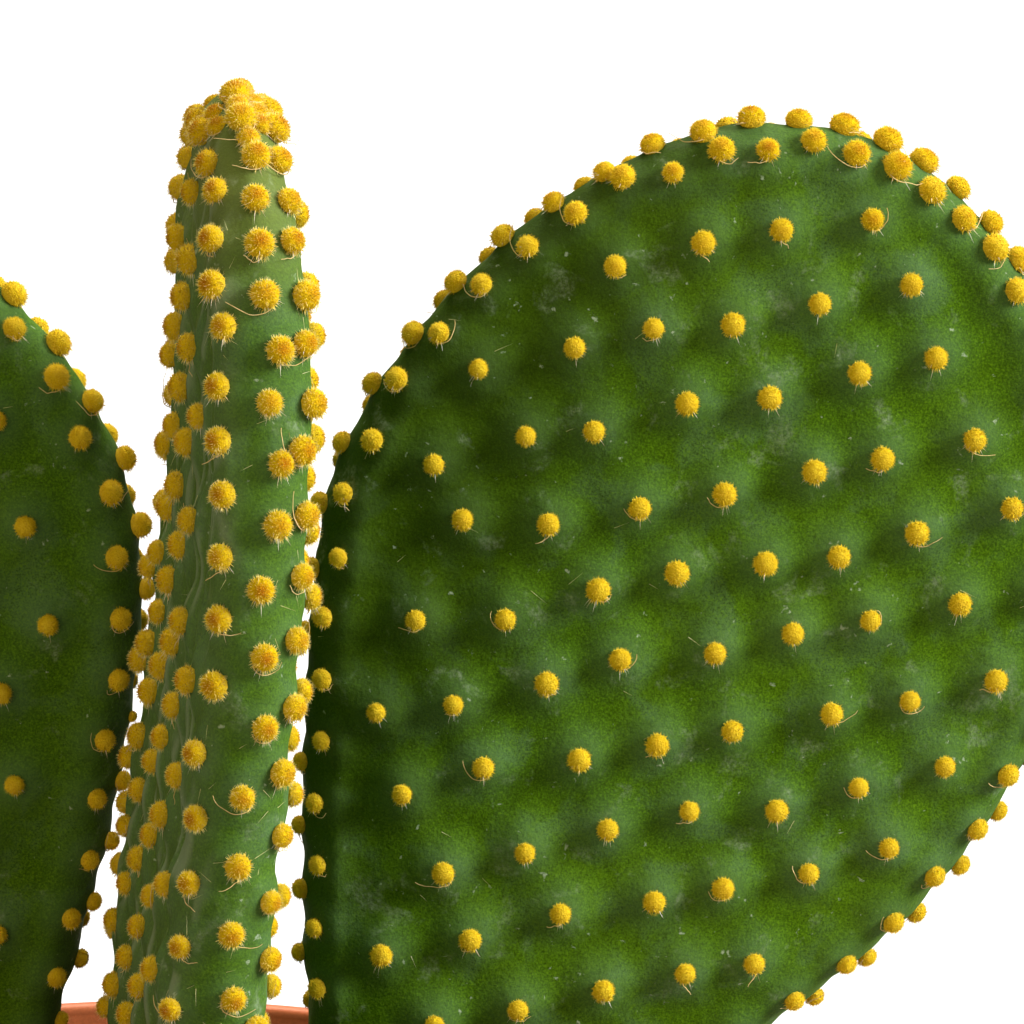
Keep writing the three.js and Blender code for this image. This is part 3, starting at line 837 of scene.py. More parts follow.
@functools.lru_cache(maxsize=None)
def filament_tree():
    """Thin filaments that curl round the lower side of some of the points and trail off."""
    board = GeometryBoard("curled_filament", {
        "Share": 0.6, "Shortest": 0.7, "Longest": 2.0, "Trail": 1.0, "Thickness": 0.00006,
        "Curl": 0.3, "Seed": 3})
    given = board.given
    near, low, steps, taper = 0.84, 0.3, 22, 0.45
    missing = board.math("GREATER_THAN", board.random(0.0, 1.0, 0), given["Share"])
    points = board.put("GeometryNodeDeleteGeometry", board.point_for_each_vertex(),
                       named={"Selection": missing}, domain="POINT")
    way = board.math("SIGN", board.random(-1.0, 0.55, 1))
    sweep = board.random(given["Shortest"], given["Longest"], 2)
    points = board.keep(points, begin=sweep * board.random(-0.65, 0.15, 3) * way,
                        sweep=sweep * way, trail=board.random(-0.1, 1.0, 4) * given["Trail"],
                        clear=board.random(0.08, 0.4, 5), rise=board.random(-0.1, 0.35, 6))
    line = board.put("GeometryNodeCurvePrimitiveLine", (0, 0, 0), (0, 0, 0.00001))
    line = board.put("GeometryNodeResampleCurve", line, named={"Count": steps})
    lines = board.realized(board.copies(points, line))
    axis, down = board.vectors("axis", "down")
    side = board.math("CROSS_PRODUCT", axis, down)
    along = board.put("GeometryNodeSplineParameter")
    strand = board.put("GeometryNodeCurveOfPoint")
    turn = along * board.attribute("sweep") + board.attribute("begin")
    leaving = 1.0 - board.math("POWER", 1.0 - along, 3.0)
    far = (leaving * board.attribute("clear") + near
           + board.math("POWER", along, 3.0) * board.attribute("trail"))
    path = down * board.math("COSINE", turn) + side * board.math("SINE", turn)
    path = path * far + axis * (along * board.attribute("rise") + low)
    bend = board.noise(board.triple(along * 1.7, strand * 3.37, given["Seed"]), 1.0, 1.5, 0.6)
    bend = (bend["Color"] - (0.5, 0.5, 0.5)) * (along * given["Curl"])
    lines = board.moved(lines, (path + bend) * board.attribute("size"))
    profile = board.put("GeometryNodeCurvePrimitiveCircle", 3, named={"Radius": given["Thickness"]})
    return board.finish(board.put("GeometryNodeCurveToMesh", lines, profile, named={
        "Scale": along * -taper + 1.0, "Fill Caps": True}))


@functools.lru_cache(maxsize=None)
def needle_tree():
    """Loose straight needles that lie on a surface."""
    board = GeometryBoard("loose_needle", {
        "Density": 20000.0, "Shortest": 0.001, "Longest": 0.0026, "Thickness": 0.00003, "Seed": 5})
    given = board.given
    strewn = board.strewn_points("litter")
    points = board.keep(strewn, normal_here=strewn["Normal"])
    normal, = board.vectors("normal_here")
    aside = board.triple(board.random(-1.0, 1.0, 0), board.random(-1.0, 1.0, 1),
                         board.random(-1.6, 0.6, 2))
    tangent = board.math("NORMALIZE", board.math("CROSS_PRODUCT", normal, aside))
    heading = tangent + normal * board.random(0.0, 0.45, 3)
    length = board.random(given["Shortest"], given["Longest"], 4)
    return board.finish(board.copies(
        points, board.spike(), board.aligned(heading),
        board.triple(given["Thickness"], given["Thickness"], length)))


@functools.lru_cache(maxsize=None)
def crumb_tree():
    """Rough grains strewn over a surface."""
    board = GeometryBoard("strewn_grain", {
        "Density": 100000.0, "Smallest": 0.0004, "Largest": 0.0013, "Roughness": 0.5,
        "Flatness": 0.3, "Seed": 7})
    given = board.given
    size = board.random(given["Smallest"], given["Largest"], 0)
    flat = 1.0 - given["Flatness"] * board.random(0.2, 1.0, 1)
    turned = board.triple(board.random(-0.5, 0.5, 2), board.random(-0.5, 0.5, 3),
                          board.random(0.0, 6.28, 4))
    points = board.keep(board.strewn_points("open"), tone=board.random(0.0, 1.0, 5),
                        grain_size=size)
    grains = board.realized(board.copies(
        points, board.put("GeometryNodeMeshIcoSphere", 1.0, 2),
        board.put("FunctionNodeEulerToRotation", turned),
        board.triple(size, size * board.random(0.6, 1.1, 6), size * flat)))
    bumps = board.noise(board.put("GeometryNodeInputPosition"), 700.0)["Color"]
    amount = board.attribute("grain_size") * given["Roughness"] * 3.0
    return board.finish(board.moved(grains, (bumps - (0.5, 0.5, 0.5)) * amount))


# ---- materials -----------------------------------------------------------------------------

@functools.lru_cache(maxsize=None)
def shared_group(name):
    """The node groups that several materials use."""
    builders = {"fine grain": build_grain_group, "soft patches": build_patch_group}
    tree = bpy.data.node_groups.new(name, "ShaderNodeTree")
    builders[name](tree)
    return tree


def group_board(tree, inputs, outputs):
    """A board for a shader group, with its inputs and the sockets of its output.

    An input is given as its kind, or as the number that it starts from.
    """
    for label, start in inputs.items():
        is_number = isinstance(start, float)
        socket = tree.interface.new_socket(
            name=label, in_out="INPUT", socket_type="NodeSocketFloat" if is_number else start)
        if is_number:
            socket.default_value = start
    for label, kind in outputs.items():
        tree.interface.new_socket(name=label, in_out="OUTPUT", socket_type=kind)
    board = Board(tree)
    given = board.given_by(tree.nodes.new("NodeGroupInput"))
    return board, given, tree.nodes.new("NodeGroupOutput").inputs


def build_grain_group(tree):
    """A colour made lighter and darker grain by grain, with the height of the grains."""
    colour = "NodeSocketColor"
    board, given, result = group_board(tree, {
        "Vector": "NodeSocketVector", "Color": colour, "Dark": colour, "Light": colour,
        "Scale": 1000.0, "Amount": 0.5}, {"Color": colour, "Height": "NodeSocketFloat"})
    grain = board.noise(given["Vector"], given["Scale"], 3.0, 0.65)
    dark = board.spread(grain, 0.5, 0.3) * given["Amount"]
    light = board.spread(grain, 0.5, 0.7) * given["Amount"]
    darkened = board.mix(dark, given["Color"], given["Dark"])
    board.feed(result["Color"], board.mix(light, darkened, given["Light"]))
    board.feed(result["Height"], grain)


def build_patch_group(tree):
    """A mask of soft-edged patches."""
    board, given, result = group_board(tree, {
        "Vector": "NodeSocketVector", "Scale": 100.0, "Start": 0.5, "Full": 0.7, "Amount": 1.0,
        "Ruggedness": 0.5}, {"Mask": "NodeSocketFloat"})
    patches = board.noise(given["Vector"], given["Scale"], 4.0, given["Ruggedness"], 0.4)
    mask = board.spread(patches, given["Start"], given["Full"], interpolation_type="SMOOTHSTEP")
    board.feed(result["Mask"], mask * given["Amount"])


class Finish(Board):
    """A material round one Principled shader."""

    def __init__(self, name, **constants):
        self.material = bpy.data.materials.new(name)
        self.material.use_nodes = True
        super().__init__(self.material.node_tree)
        self.shader = self.tree.nodes["Principled BSDF"]
        for label, value in constants.items():
            self.shader.inputs[label.replace("_", " ")].default_value = value
        self.coordinates = self.put("ShaderNodeTexCoord")["Object"]

    def attribute(self, name):
        return self.put("ShaderNodeAttribute", attribute_type="GEOMETRY",
                        attribute_name=name)["Fac"]

    def group(self, name, **inputs):
        """The first output of one of the shared groups."""
        node = self.node("ShaderNodeGroup")
        node.node_tree = shared_group(name)
        for label, value in {"Vector": self.coordinates, **inputs}.items():
            self.feed(node.inputs[label], value)
        return Term(self, node.outputs[0])

    def patches(self, scale, start, full, amount, ruggedness=0.5):
        return self.group("soft patches", Scale=scale, Start=start, Full=full, Amount=amount,
                          Ruggedness=ruggedness)

    def grain(self, colour, dark, light, scale, amount):
        return self.group("fine grain", Color=colour, Dark=dark, Light=light, Scale=scale,
                          Amount=amount)

    def speckle(self, *noise):
        return self.noise(self.coordinates, *noise)

    def bump(self, height, distance, strength=1.0, normal=None):
        return self.put("ShaderNodeBump", named={
            "Strength": strength, "Distance": distance, "Height": height, "Normal": normal})

    def done(self, colour, normal=None, roughness=None):
        for label, value in (("Base Color", colour), ("Normal", normal), ("Roughness", roughness)):
            self.feed(self.shader.inputs[label], value)
        return self.material


def tinted(colour, factor=1.0):
    """A colour of the settings as a socket takes it, made lighter or darker."""
    return (*(min(1.0, factor * channel) for channel in colour[:3]), 1.0)


def skin_finish(settings):
    """Velvety skin: yellower and bluer greens, a fine grain, grey bloom, specks of scurf, and
    painted shade on the right pad's left side.
    """
    finish = Finish("cactus_skin", Sheen_Weight=0.05, Sheen_Roughness=0.3,
                    Sheen_Tint=(0.8, 0.9, 0.3, 1), Specular_IOR_Level=0.04)
    deep, young, bloom, scurf = (functools.partial(tinted, colour) for colour in (
        settings.skin_colour, settings.young_colour, settings.bloom_colour, settings.scurf_colour))
    colour = finish.mix(finish.patches(42.0, 0.35, 0.7, 0.8), deep(), young())
    colour = finish.mix(finish.patches(150.0, 0.5, 0.66, 0.5), colour, bloom())
    colour = finish.grain(colour, deep(0.45), young(1.5), 4200.0, 0.85)
    masks = {
        # the middle pad's skin is made paler and greyer towards its top
        "bloom": (0.6, bloom(1.1)), "tender": (0.6, (0.165, 0.19, 0.045, 1)),
        # painted shade: a dark olive laid over the right pad's left side
        "aged": (0.55, (0.026, 0.044, 0.001, 1)), "worn": (0.6, (0.25, 0.31, 0.2, 1)),
    }
    for mask, (amount, tint) in masks.items():
        colour = finish.mix(finish.attribute(mask) * amount, colour, tint)
    flakes = finish.spread(finish.speckle(2300.0, 3.0, 0.7), 0.42, 0.7, 0.15)
    colour = finish.mix(finish.patches(240.0, 0.57, 0.74, 0.34, 0.6) * flakes, colour, scurf())
    colour = finish.mix(finish.patches(800.0, 0.665, 0.74, 0.6, 0.6), colour, scurf())
    normal = finish.bump(finish.speckle(500.0, 2.0), 0.0003, 0.5)
    normal = finish.bump(finish.speckle(2600.0, 3.0, 0.6), 0.00012, 0.6, normal)
    roughness = finish.spread(finish.speckle(180.0), 0.3, 0.7, 0.52, 0.72)
    return finish.done(colour, normal, roughness)


def tuft_finish(settings):
    """Golden bristles: orange in the middle of a ripe tuft, paler at its edge and at the tips, with
    a painted highlight in the middle of an unripe tuft and painted shade at the roots and the core.
    """
    finish = Finish("golden_bristles", Sheen_Weight=0.04, Sheen_Roughness=0.5,
                    Sheen_Tint=(1, 0.85, 0.2, 1), Specular_IOR_Level=0.05, Roughness=0.65,
                    Subsurface_Weight=0.12, Subsurface_Radius=(0.001, 0.0007, 0.0003),
                    Subsurface_Scale=1.0)
    spread, ripe, tone, along = (
        finish.attribute(name) for name in ("spread", "ripeness", "tone", "along"))
    gold, pale, orange = (functools.partial(tinted, colour) for colour in (
        settings.gold_colour, settings.pale_colour, settings.ripe_colour))
    colour = finish.mix(tone, gold(0.85), gold(1.12))
    colour = finish.mix(finish.spread(spread, 0.3, 0.85), colour, pale())
    # painted highlight: the middle of a tuft that is not ripe turns a brighter yellow
    painted_highlight = finish.spread(spread, 0.5, 0.1) * finish.spread(ripe, 0.8, 0.1)
    colour = finish.mix(painted_highlight * 0.6, colour, (1.0, 0.78, 0.05, 1))
    colour = finish.mix(finish.spread(spread, 0.24, 0.02) * ripe, colour, orange())
    # painted shade: darker orange towards the bristles' roots and on the core, deep in the tuft
    colour = finish.mix(finish.spread(along, 0.75, 0.15) * 0.36, colour, orange())
    colour = finish.grain(colour, orange(), pale(), 5200.0, 0.38)
    return finish.done(colour, finish.bump(colour["Height"], 0.0004))


def hair_finish(name, colour, tips, by="tone"):
    """Fine hair and filaments, from one colour to another by a named attribute."""
    finish = Finish(name, Roughness=0.55, Specular_IOR_Level=0.2, Sheen_Weight=0.05)
    mixed = finish.mix(finish.attribute(by), colour, tips)
    return finish.done(finish.grain(mixed, tinted(colour, 0.7), tips, 900.0, 0.5))


def soil_finish(settings):
    """Dark planting mix, rough and dull."""
    finish = Finish("planting_mix", Specular_IOR_Level=0.15)
    brown = functools.partial(tinted, settings.soil_colour)
    colour = finish.mix(finish.patches(90.0, 0.4, 0.65, 0.8), brown(), brown(1.9))
    colour = finish.grain(colour, brown(0.4), (0.2, 0.13, 0.07, 1), 900.0, 0.8)
    return finish.done(colour, finish.bump(finish.speckle(400.0, 5.0, 0.7), 0.0012, 0.9), 0.93)


def grain_finish(name, dark, light):
    """Crumbs or grit: each grain has a tone of its own."""
    finish = Finish(name, Specular_IOR_Level=0.15)
    colour = finish.mix(finish.attribute("tone"), dark, light)
    colour = finish.grain(colour, tinted(dark, 0.6), tinted(light, 1.2), 1500.0, 0.6)
    return finish.done(colour, finish.bump(colour["Height"], 0.0004, 0.8), 0.9)


def pot_finish(settings):
    """Terracotta-coloured plastic with fine flecks, scuffs, and dried soil round its foot."""
    finish = Finish("terracotta_plastic", Specular_IOR_Level=0.4)
    clay = functools.partial(tinted, settings.pot_colour)
    colour = finish.mix(finish.patches(28.0, 0.35, 0.7, 0.5), clay(), clay(0.84))
    flecked = finish.grain(colour, clay(0.72), clay(1.25), 1800.0, 0.35)
    drawn_out = finish.put("ShaderNodeMapping", finish.coordinates, named={"Scale": (1, 1, 7)})
    scuffs = finish.spread(finish.noise(drawn_out, 120.0, 6.0, 0.75), 0.62, 0.72, 0.0, 0.3)
    height = finish.put("ShaderNodeSeparateXYZ", finish.coordinates)["Z"]
    low = finish.spread(height, 0.012, 0.0)
    colour = finish.mix(scuffs, flecked, (0.62, 0.42, 0.3, 1))
    dirt = finish.patches(260.0, 0.45, 0.62, 0.6, 0.65) * low
    colour = finish.mix(dirt, colour, (0.14, 0.085, 0.05, 1))
    splashes = finish.patches(330.0, 0.68, 0.74, 0.35, 0.6)
    colour = finish.mix(splashes, colour, (0.3, 0.19, 0.12, 1))
    roughness = finish.spread(finish.speckle(240.0, 4.0), 0.3, 0.7, 0.42, 0.6)
    return finish.done(colour, finish.bump(flecked["Height"], 0.00008, 0.5), roughness)


# ---- settings ------------------------------------------------------------------------------

def colour_of(name, description, default):
    return FloatVectorProperty(name=name, description=description, default=default,
                               subtype="COLOR", size=3, min=0.0, max=1.0)


def number_of(name, description, default, low, high, unit="NONE", subtype="NONE"):
    return FloatProperty(name=name, description=description, default=default, min=low, max=high,
                         unit=unit, subtype=subtype)


def length_of(name, description, default, low, high):
    return number_of(name, description, default, low, high, "LENGTH", "DISTANCE")


def count_of(name, description, default, low, high):
    return IntProperty(name=name, description=description, default=default, min=low, max=high)


class CactusSkinSettings(bpy.types.PropertyGroup):
    skin_colour: colour_of("Skin", "Deep green of the grown skin", (0.045, 0.107, 0.001))
    young_colour: colour_of("Young skin", "Yellower green of young skin", (0.065, 0.138, 0.002))
    bloom_colour: colour_of("Bloom", "Bluish green of the waxy bloom", (0.074, 0.143, 0.055))
    scurf_colour: colour_of("Scurf", "Pale grey of scurf and specks", (0.42, 0.5, 0.36))
    relief: length_of("Relief", "How far the skin swells under a tuft and sinks between tufts",
                      0.0017, 0.0, 0.004)
    wrinkle: length_of("Wrinkle", "Height of the long wrinkles on the middle pad",
                       0.0003, 0.0, 0.001)


class CactusTuftSettings(bpy.types.PropertyGroup):
    gold_colour: colour_of("Gold", "Colour of the bristles", (0.98, 0.66, 0.003))
    pale_colour: colour_of("Pale gold", "Colour at a tuft's edge", (0.97, 0.71, 0.04))
    ripe_colour: colour_of("Ripe", "Orange of a ripe tuft's middle", (0.5, 0.17, 0.002))
    hair_colour: colour_of("Hair", "Colour of the finest bristles", (0.93, 0.68, 0.05))
    filament_colour: colour_of("Filament", "Colour of the curled filaments", (0.74, 0.53, 0.22))
    bristles: count_of("Bristles", "Bristles in a tuft", 185, 8, 400)
    hairs: count_of("Hairs", "Finest bristles in a tuft", 165, 8, 400)
    bristle_radius: length_of("Bristle radius", "Radius of a bristle at its root",
                              0.00007, 0.00001, 0.0003)
    hair_radius: length_of("Hair radius", "Radius of the finest bristles at their root",
                           0.000028, 0.000005, 0.0002)
    fringe_radius: length_of("Fringe radius", "Radius of the cream bristles under a tuft",
                             0.00005, 0.00001, 0.0003)
    core: number_of("Core", "Radius of the core over the reach of the bristles",
                    0.86, 0.1, 0.95, subtype="FACTOR")


class CactusPotSettings(bpy.types.PropertyGroup):
    pot_colour: colour_of("Pot", "Terracotta colour of the pot", (0.65, 0.168, 0.057))
    soil_colour: colour_of("Soil", "Dark brown of the planting mix", (0.045, 0.03, 0.02))
    height: length_of("Height", "Height of the pot", POT_HIGH[2], 0.02, 0.5)
    rim_radius: length_of("Rim radius", "Outer radius of the pot's rim", POT_HIGH[0], 0.02, 0.5)


class CactusStageSettings(bpy.types.PropertyGroup):
    key_strength: number_of("Key light", "Strength of the soft light from the right",
                            6.4, 0.0, 100.0)
    fill_strength: number_of("Fill light", "Strength of the softer light from the left",
                             1.05, 0.0, 100.0)
    top_strength: number_of("Top light", "Strength of the soft light from overhead",
                            0.45, 0.0, 100.0)
    back_strength: number_of("Back light", "Strength of the soft light from behind",
                             3.5, 0.0, 100.0)
    sky: number_of("Sky", "Strength of the even light from all round", 0.04, 0.0, 5.0)
    camera_distance: length_of("Camera distance",
                               "From the camera to the point that it looks at", 0.7, 0.2, 5.0)
    camera_drop: number_of("Camera tilt", "How far the camera looks down",
                           math.radians(14), 0.0, 1.5, "ROTATION", "ANGLE")


# ---- the pot and the soil ------------------------------------------------------------------

def pot_profile(height, rim_radius):
    collar_foot = height - POT_COLLAR_HEIGHT
    wall = POT_WALL
    return rounded([
        (0, 0, 0), (POT_FOOT, 0, POT_EDGE), (POT_SHOULDER, collar_foot, 0.5),
        (POT_COLLAR, collar_foot + POT_EDGE, 0.7),
        (rim_radius, height - wall / 2, 0.1), (rim_radius, height, 0.95),
        (rim_radius - wall, height, 0.95), (rim_radius - wall, height - wall / 2, 0.1),
        (POT_COLLAR - wall, collar_foot + POT_EDGE + wall, 0.9),
        (POT_SHOULDER - wall, collar_foot - wall / 2, 0.9),
        (POT_FOOT - wall, wall, 0.9), (0, wall, 0),
    ])


def drain_drill(count):
    """A plug as wide as a drain hole, where the hole goes through the pot's floor."""
    deep = 5
    profile = [(0, -deep), (DRAIN_RADIUS, -deep), (DRAIN_RADIUS, deep), (0, deep)]
    mesh = turned_mesh("drill", profile, DRAIN_SIDES)
    angle = 2 * math.pi * count / DRAIN_HOLES
    centre = (DRAIN_CIRCLE * math.cos(angle), DRAIN_CIRCLE * math.sin(angle), 0)
    move_to(mesh, places_of(mesh) + centre)
    return object_of("drill", mesh)


class CACTUS_OT_pot(bpy.types.Operator):
    """Make the pot with its drain holes"""

    bl_idname = "cactus.pot"
    bl_label = "Pot"

    def execute(self, context):
        settings = context.scene.cactus_pot
        profile = pot_profile(settings.height / MM, settings.rim_radius / MM)
        piece = object_of("pot_body", turned_mesh("pot_body", profile, POT_SIDES))
        cut_away(piece, [drain_drill(count) for count in range(DRAIN_HOLES)])
        paint(piece, pot_finish(settings), 40)
        hand_over(piece, "pot", "pot")
        return {"FINISHED"}


def soil_profile(height, rim_radius):
    """The soil's outline up to its top edge, and the radius of its top."""
    collar_foot = height - POT_COLLAR_HEIGHT
    inside = POT_COLLAR - POT_WALL
    collar_top = collar_foot + POT_EDGE + POT_WALL
    rise = (SOIL_TOP - collar_top) / (height - POT_WALL / 2 - collar_top)
    top_radius = inside + (rim_radius - POT_COLLAR) * rise - WALL_GAP
    outline = [
        (0, POT_WALL + FLOOR_GAP), (POT_FOOT - POT_WALL - WALL_GAP, POT_WALL + FLOOR_GAP),
        (POT_SHOULDER - POT_WALL - WALL_GAP, collar_foot - POT_WALL / 2),
        (inside - WALL_GAP, collar_top + WALL_GAP), (top_radius, SOIL_TOP - SOIL_EDGE),
    ]
    return outline, top_radius


def soil_mesh(height, rim_radius):
    """The soil, still without its holes, with a top of lumps and small pits."""
    outline, top_radius = soil_profile(height, rim_radius)
    rings = [(top_radius * (1 - RING_STEP * count), SOIL_TOP)
             for count in range(1, SOIL_RINGS + 1)]
    mesh = turned_mesh("soil_body", [*outline, *rings, (0, SOIL_TOP)], SOIL_SIDES)
    places = places_of(mesh)
    x, y, z = places.T
    lump = np.sin(0.31 * x + 1.3) * np.cos(0.27 * y) + 0.6 * np.sin(0.47 * (x + y))
    flat = np.stack([x, y, np.zeros(len(x))], -1)
    rough = waves(flat, 9, 21) * 0.35 + np.abs(waves(flat, 2.6, 22)) * 0.5 - 0.3
    inner = 1 - smooth_step(0.9 * top_radius, top_radius, np.hypot(x, y))
    places[:, 2] += np.where(z > SOIL_TOP - SOIL_EDGE / 2,
                             (LUMP_HEIGHT * lump + rough) * inner, 0)
    move_to(mesh, places)
    return mesh, top_radius


def hole_object(pad):
    """The foot of a pad's smooth skin, grown by the clearance round it."""
    points, quads, _, _ = pad_surface(pad, HOLE_CELLS)
    mesh = mesh_of("hole", points, quads)
    move_to(mesh, places_of(mesh) + normals_of(mesh) * HOLE_CLEARANCE)
    return object_of("hole", mesh)


def open_soil(mesh, pads, top_radius):
    """Which points of the soil's top lie free, clear of the pads, the pot and the holes."""
    places = places_of(mesh)
    clear = ~np.any([pad.is_near(places, FREE_OF_PADS) for pad in pads], axis=0)
    inside = np.hypot(places[:, 0], places[:, 1]) < top_radius - FREE_OF_WALL
    high = places[:, 2] > SOIL_TOP - LOWEST_GRAIN
    return clear & inside & high & (normals_of(mesh)[:, 2] > STEEPEST)


# Of each kind of grain: its darkest and lightest colour, and the inputs of its tree.
GRAINS = {
    "soil_crumbs": ((0.035, 0.022, 0.014, 1), (0.15, 0.095, 0.055, 1), {
        "density": 170000.0, "smallest": 0.0003, "largest": 0.0011, "seed": 11}),
    "soil_grit": ((0.42, 0.38, 0.3, 1), (0.78, 0.76, 0.7, 1), {
        "density": 12000.0, "smallest": 0.0005, "largest": 0.0012, "seed": 23, "flatness": 0.15}),
    "soil_chips": ((0.09, 0.045, 0.02, 1), (0.26, 0.15, 0.07, 1), {
        "density": 14000.0, "smallest": 0.0008, "largest": 0.0019, "seed": 31, "flatness": 0.75}),
}


class CACTUS_OT_soil(bpy.types.Operator):
    """Make the planting mix with its crumbs and grit"""

    bl_idname = "cactus.soil"
    bl_label = "Soil"

    def execute(self, context):
        settings = context.scene.cactus_pot
        pads = [grown["pad"] for grown in grown_pads().values()]
        mesh, top_radius = soil_mesh(settings.height / MM, settings.rim_radius / MM)
        piece = object_of("soil_body", mesh)
        cut_away(piece, [hole_object(pad) for pad in pads])
        paint(piece, soil_finish(settings), 60)
        is_open = open_soil(piece.data, pads, top_radius).astype(float)
        for name, (dark, light, sizes) in GRAINS.items():
            ground = piece.data.copy()
            store(ground, "open", is_open)
            layer = object_of(name, ground)
            grow(layer, crumb_tree(), ("open", "grain_size", "id"),
                 material=grain_finish(name, dark, light), **sizes)
            hand_over(layer, "soil", "soil")
        hand_over(piece, "soil", "soil")
        return {"FINISHED"}


# ---- the pads' skins, tufts and filaments --------------------------------------------------

def wrinkles(grown, aside, height):
    """Long folds on the left face of the middle pad, from -1 to 1, and where they run."""
    points, shares = grown["points"], grown["shares"]
    drift = FOLD_DRIFT * waves(points * (1, 1, 0.4), 14, 43, 3)
    folds = np.sin((aside + drift) * 2 * math.pi / FOLD_PITCH)
    on_left = (grown["faces"] < 0) & (shares < 0.99)
    return folds, on_left * smooth_step(0.985, 0.92, shares) * smooth_step(15, 30, height)


def skin_mesh(grown, relief, wrinkle):
    """A pad's skin, swollen under its tufts, with the masks that its finish reads."""
    points, normals, shares = grown["points"], grown["normals"], grown["shares"]
    lift, bloom = skin_lift(grown, points, normals, shares, relief)
    pad = grown["pad"]
    aside, height, _ = pad.laid(points)
    is_middle, is_right = pad.side == "middle", pad.side == "right"
    worn = np.zeros(len(points))
    if is_middle:
        folds, where = wrinkles(grown, aside, height)
        lift += wrinkle * smooth_step(-0.2, 1, folds) * where
        worn = smooth_step(0.2, 1, folds) * smooth_step(-0.35, 0.4, waves(points, 9, 44))
        worn = (0.2 + 0.8 * worn) * where
    litter = 0.15 + (0.5 + 2 * smooth_step(0.84, 0.93, shares)) * is_middle
    mesh = mesh_of(f"skin_{pad.side}", points + normals * lift[:, None], grown["quads"])
    masks = {
        # paler and greyer towards the middle pad's top
        "bloom": bloom, "worn": worn, "tender": smooth_step(196, 214, points[:, 2]) * is_middle,
        # painted shade: darker towards the right pad's left side, beside the middle pad
        "aged": smooth_step(-4, -28, aside) * is_right,
        "litter": litter * smooth_step(4, BARE_FOOT, height),
    }
    for name, values in masks.items():
        store(mesh, name, values)
    return mesh


class CACTUS_OT_skins(bpy.types.Operator):
    """Make the skins of the three pads"""

    bl_idname = "cactus.skins"
    bl_label = "Skins"

    def execute(self, context):
        settings = context.scene.cactus_skin
        material = skin_finish(settings)
        for side, grown in grown_pads().items():
            mesh = skin_mesh(grown, settings.relief / MM, settings.wrinkle / MM)
            mesh.materials.append(material)
            hand_over(object_of(f"skin_{side}", mesh), "pad", f"pad_{side}")
        return {"FINISHED"}


def tuft_sizes(grown):
    """The radius of each tuft. Those of the upper rim are larger, those on the left smaller."""
    places, pad = grown["places"], grown["pad"]
    age = smooth_step(110, 200, places[:, 2])
    sizes = grown["radii"] * (pad.sizes["tuft_scale"] + AGE_GROWTH * age)
    if pad.side == "middle":
        return sizes * (1 + CROWN_GROWTH * smooth_step(213, 218, places[:, 2]))
    if pad.side == "right":
        sizes *= 1 - SIDE_LOSS * smooth_step(-2, -28, pad.laid(places)[0])
    return sizes * (1 + RIM_GROWTH * smooth_step(0.9, 0.96, grown["place_shares"]) * age)


def tuft_points(name, grown, relief):
    """A mesh of one point for each tuft, with the directions and sizes that the trees read."""
    axes, places = grown["axes"], grown["places"]
    lift, _ = skin_lift(grown, places, axes, grown["place_shares"], relief)
    seats = places + axes * (lift - SEAT_DEPTH)[:, None]
    mesh = mesh_of(name, seats, [], False)
    falling = np.array([0.0, 0, -1]) - axes * -axes[:, 2:3]
    flat = np.linalg.norm(falling, axis=1) < 1e-3
    falling[flat] = np.cross(axes[flat], (1.0, 0, 0))
    falling /= np.linalg.norm(falling, axis=1, keepdims=True)
    twist, luck = (np.array([stray(count, draw) for count in range(len(places))])
                   for draw in (11, 17))
    young = 0.9 if grown["pad"].side == "middle" else smooth_step(190, 215, places[:, 2])
    store(mesh, "axis", axes, "FLOAT_VECTOR")
    store(mesh, "down", falling, "FLOAT_VECTOR")
    store(mesh, "size", tuft_sizes(grown) * MM)
    store(mesh, "twist", math.pi * twist)
    store(mesh, "ripeness", np.clip(young + 0.5 * (0.5 + 0.5 * luck) - 0.3, 0, 1))
    return mesh


TREE_ATTRIBUTES = ("axis", "down", "size", "twist", "length", "begin", "sweep", "trail",
                   "clear", "rise", "normal_here", "id")
SKIN_MASKS = ("bloom", "worn", "tender", "aged", "litter")


class CACTUS_OT_tufts(bpy.types.Operator):
    """Grow the tufts of bristles on the pads"""

    bl_idname = "cactus.tufts"
    bl_label = "Tufts"

    def execute(self, context):
        settings = context.scene.cactus_tuft
        relief = context.scene.cactus_skin.relief / MM
        bristle = tuft_finish(settings)
        golden = hair_finish("golden_hair", tinted(settings.gold_colour, 0.95),
                             tinted(settings.hair_colour), "along")
        pale = hair_finish("pale_hair", tinted(settings.hair_colour, 0.9), (0.93, 0.8, 0.38, 1),
                           "along")
        cream = hair_finish("cream_fringe", (0.8, 0.62, 0.4, 1), (0.95, 0.9, 0.8, 1))
        for side, grown in grown_pads().items():
            room = int(PIECE_TRIANGLES / len(grown["places"]) - CORE_TRIANGLES)
            is_middle = side == "middle"
            head = {"lift": 0.36, "flatness": 0.88, "spread": 1.3, "variation": 0.05}
            layers = {
                "tufts": {**head, "bristles": min(settings.bristles, room // BRISTLE_TRIANGLES),
                          "reach": 0.95, "root": 0.8, "thickness": settings.bristle_radius,
                          "core": settings.core, "seed": 3, "material": bristle},
                "hairs": {**head, "bristles": settings.hairs,
                          "reach": 1.07 if is_middle else 1.04, "root": 0.75, "droop": 0.1,
                          "thickness": settings.hair_radius, "core": 0.0, "seed": 8,
                          "material": pale if is_middle else golden},
                "fringe": {"bristles": 30, "reach": 0.68, "root": 0.3, "lift": 0.24,
                           "flatness": 0.9, "spread": 1.1, "variation": 0.3, "droop": 1.1,
                           "thickness": settings.fringe_radius, "core": 0.0, "seed": 21,
                           "material": cream},
            }
            for name, inputs in layers.items():
                piece = object_of(f"{name}_{side}", tuft_points(name, grown, relief))
                grow(piece, bristle_tree(), TREE_ATTRIBUTES, **inputs)
                hand_over(piece, "pad", f"pad_{side}")
        return {"FINISHED"}


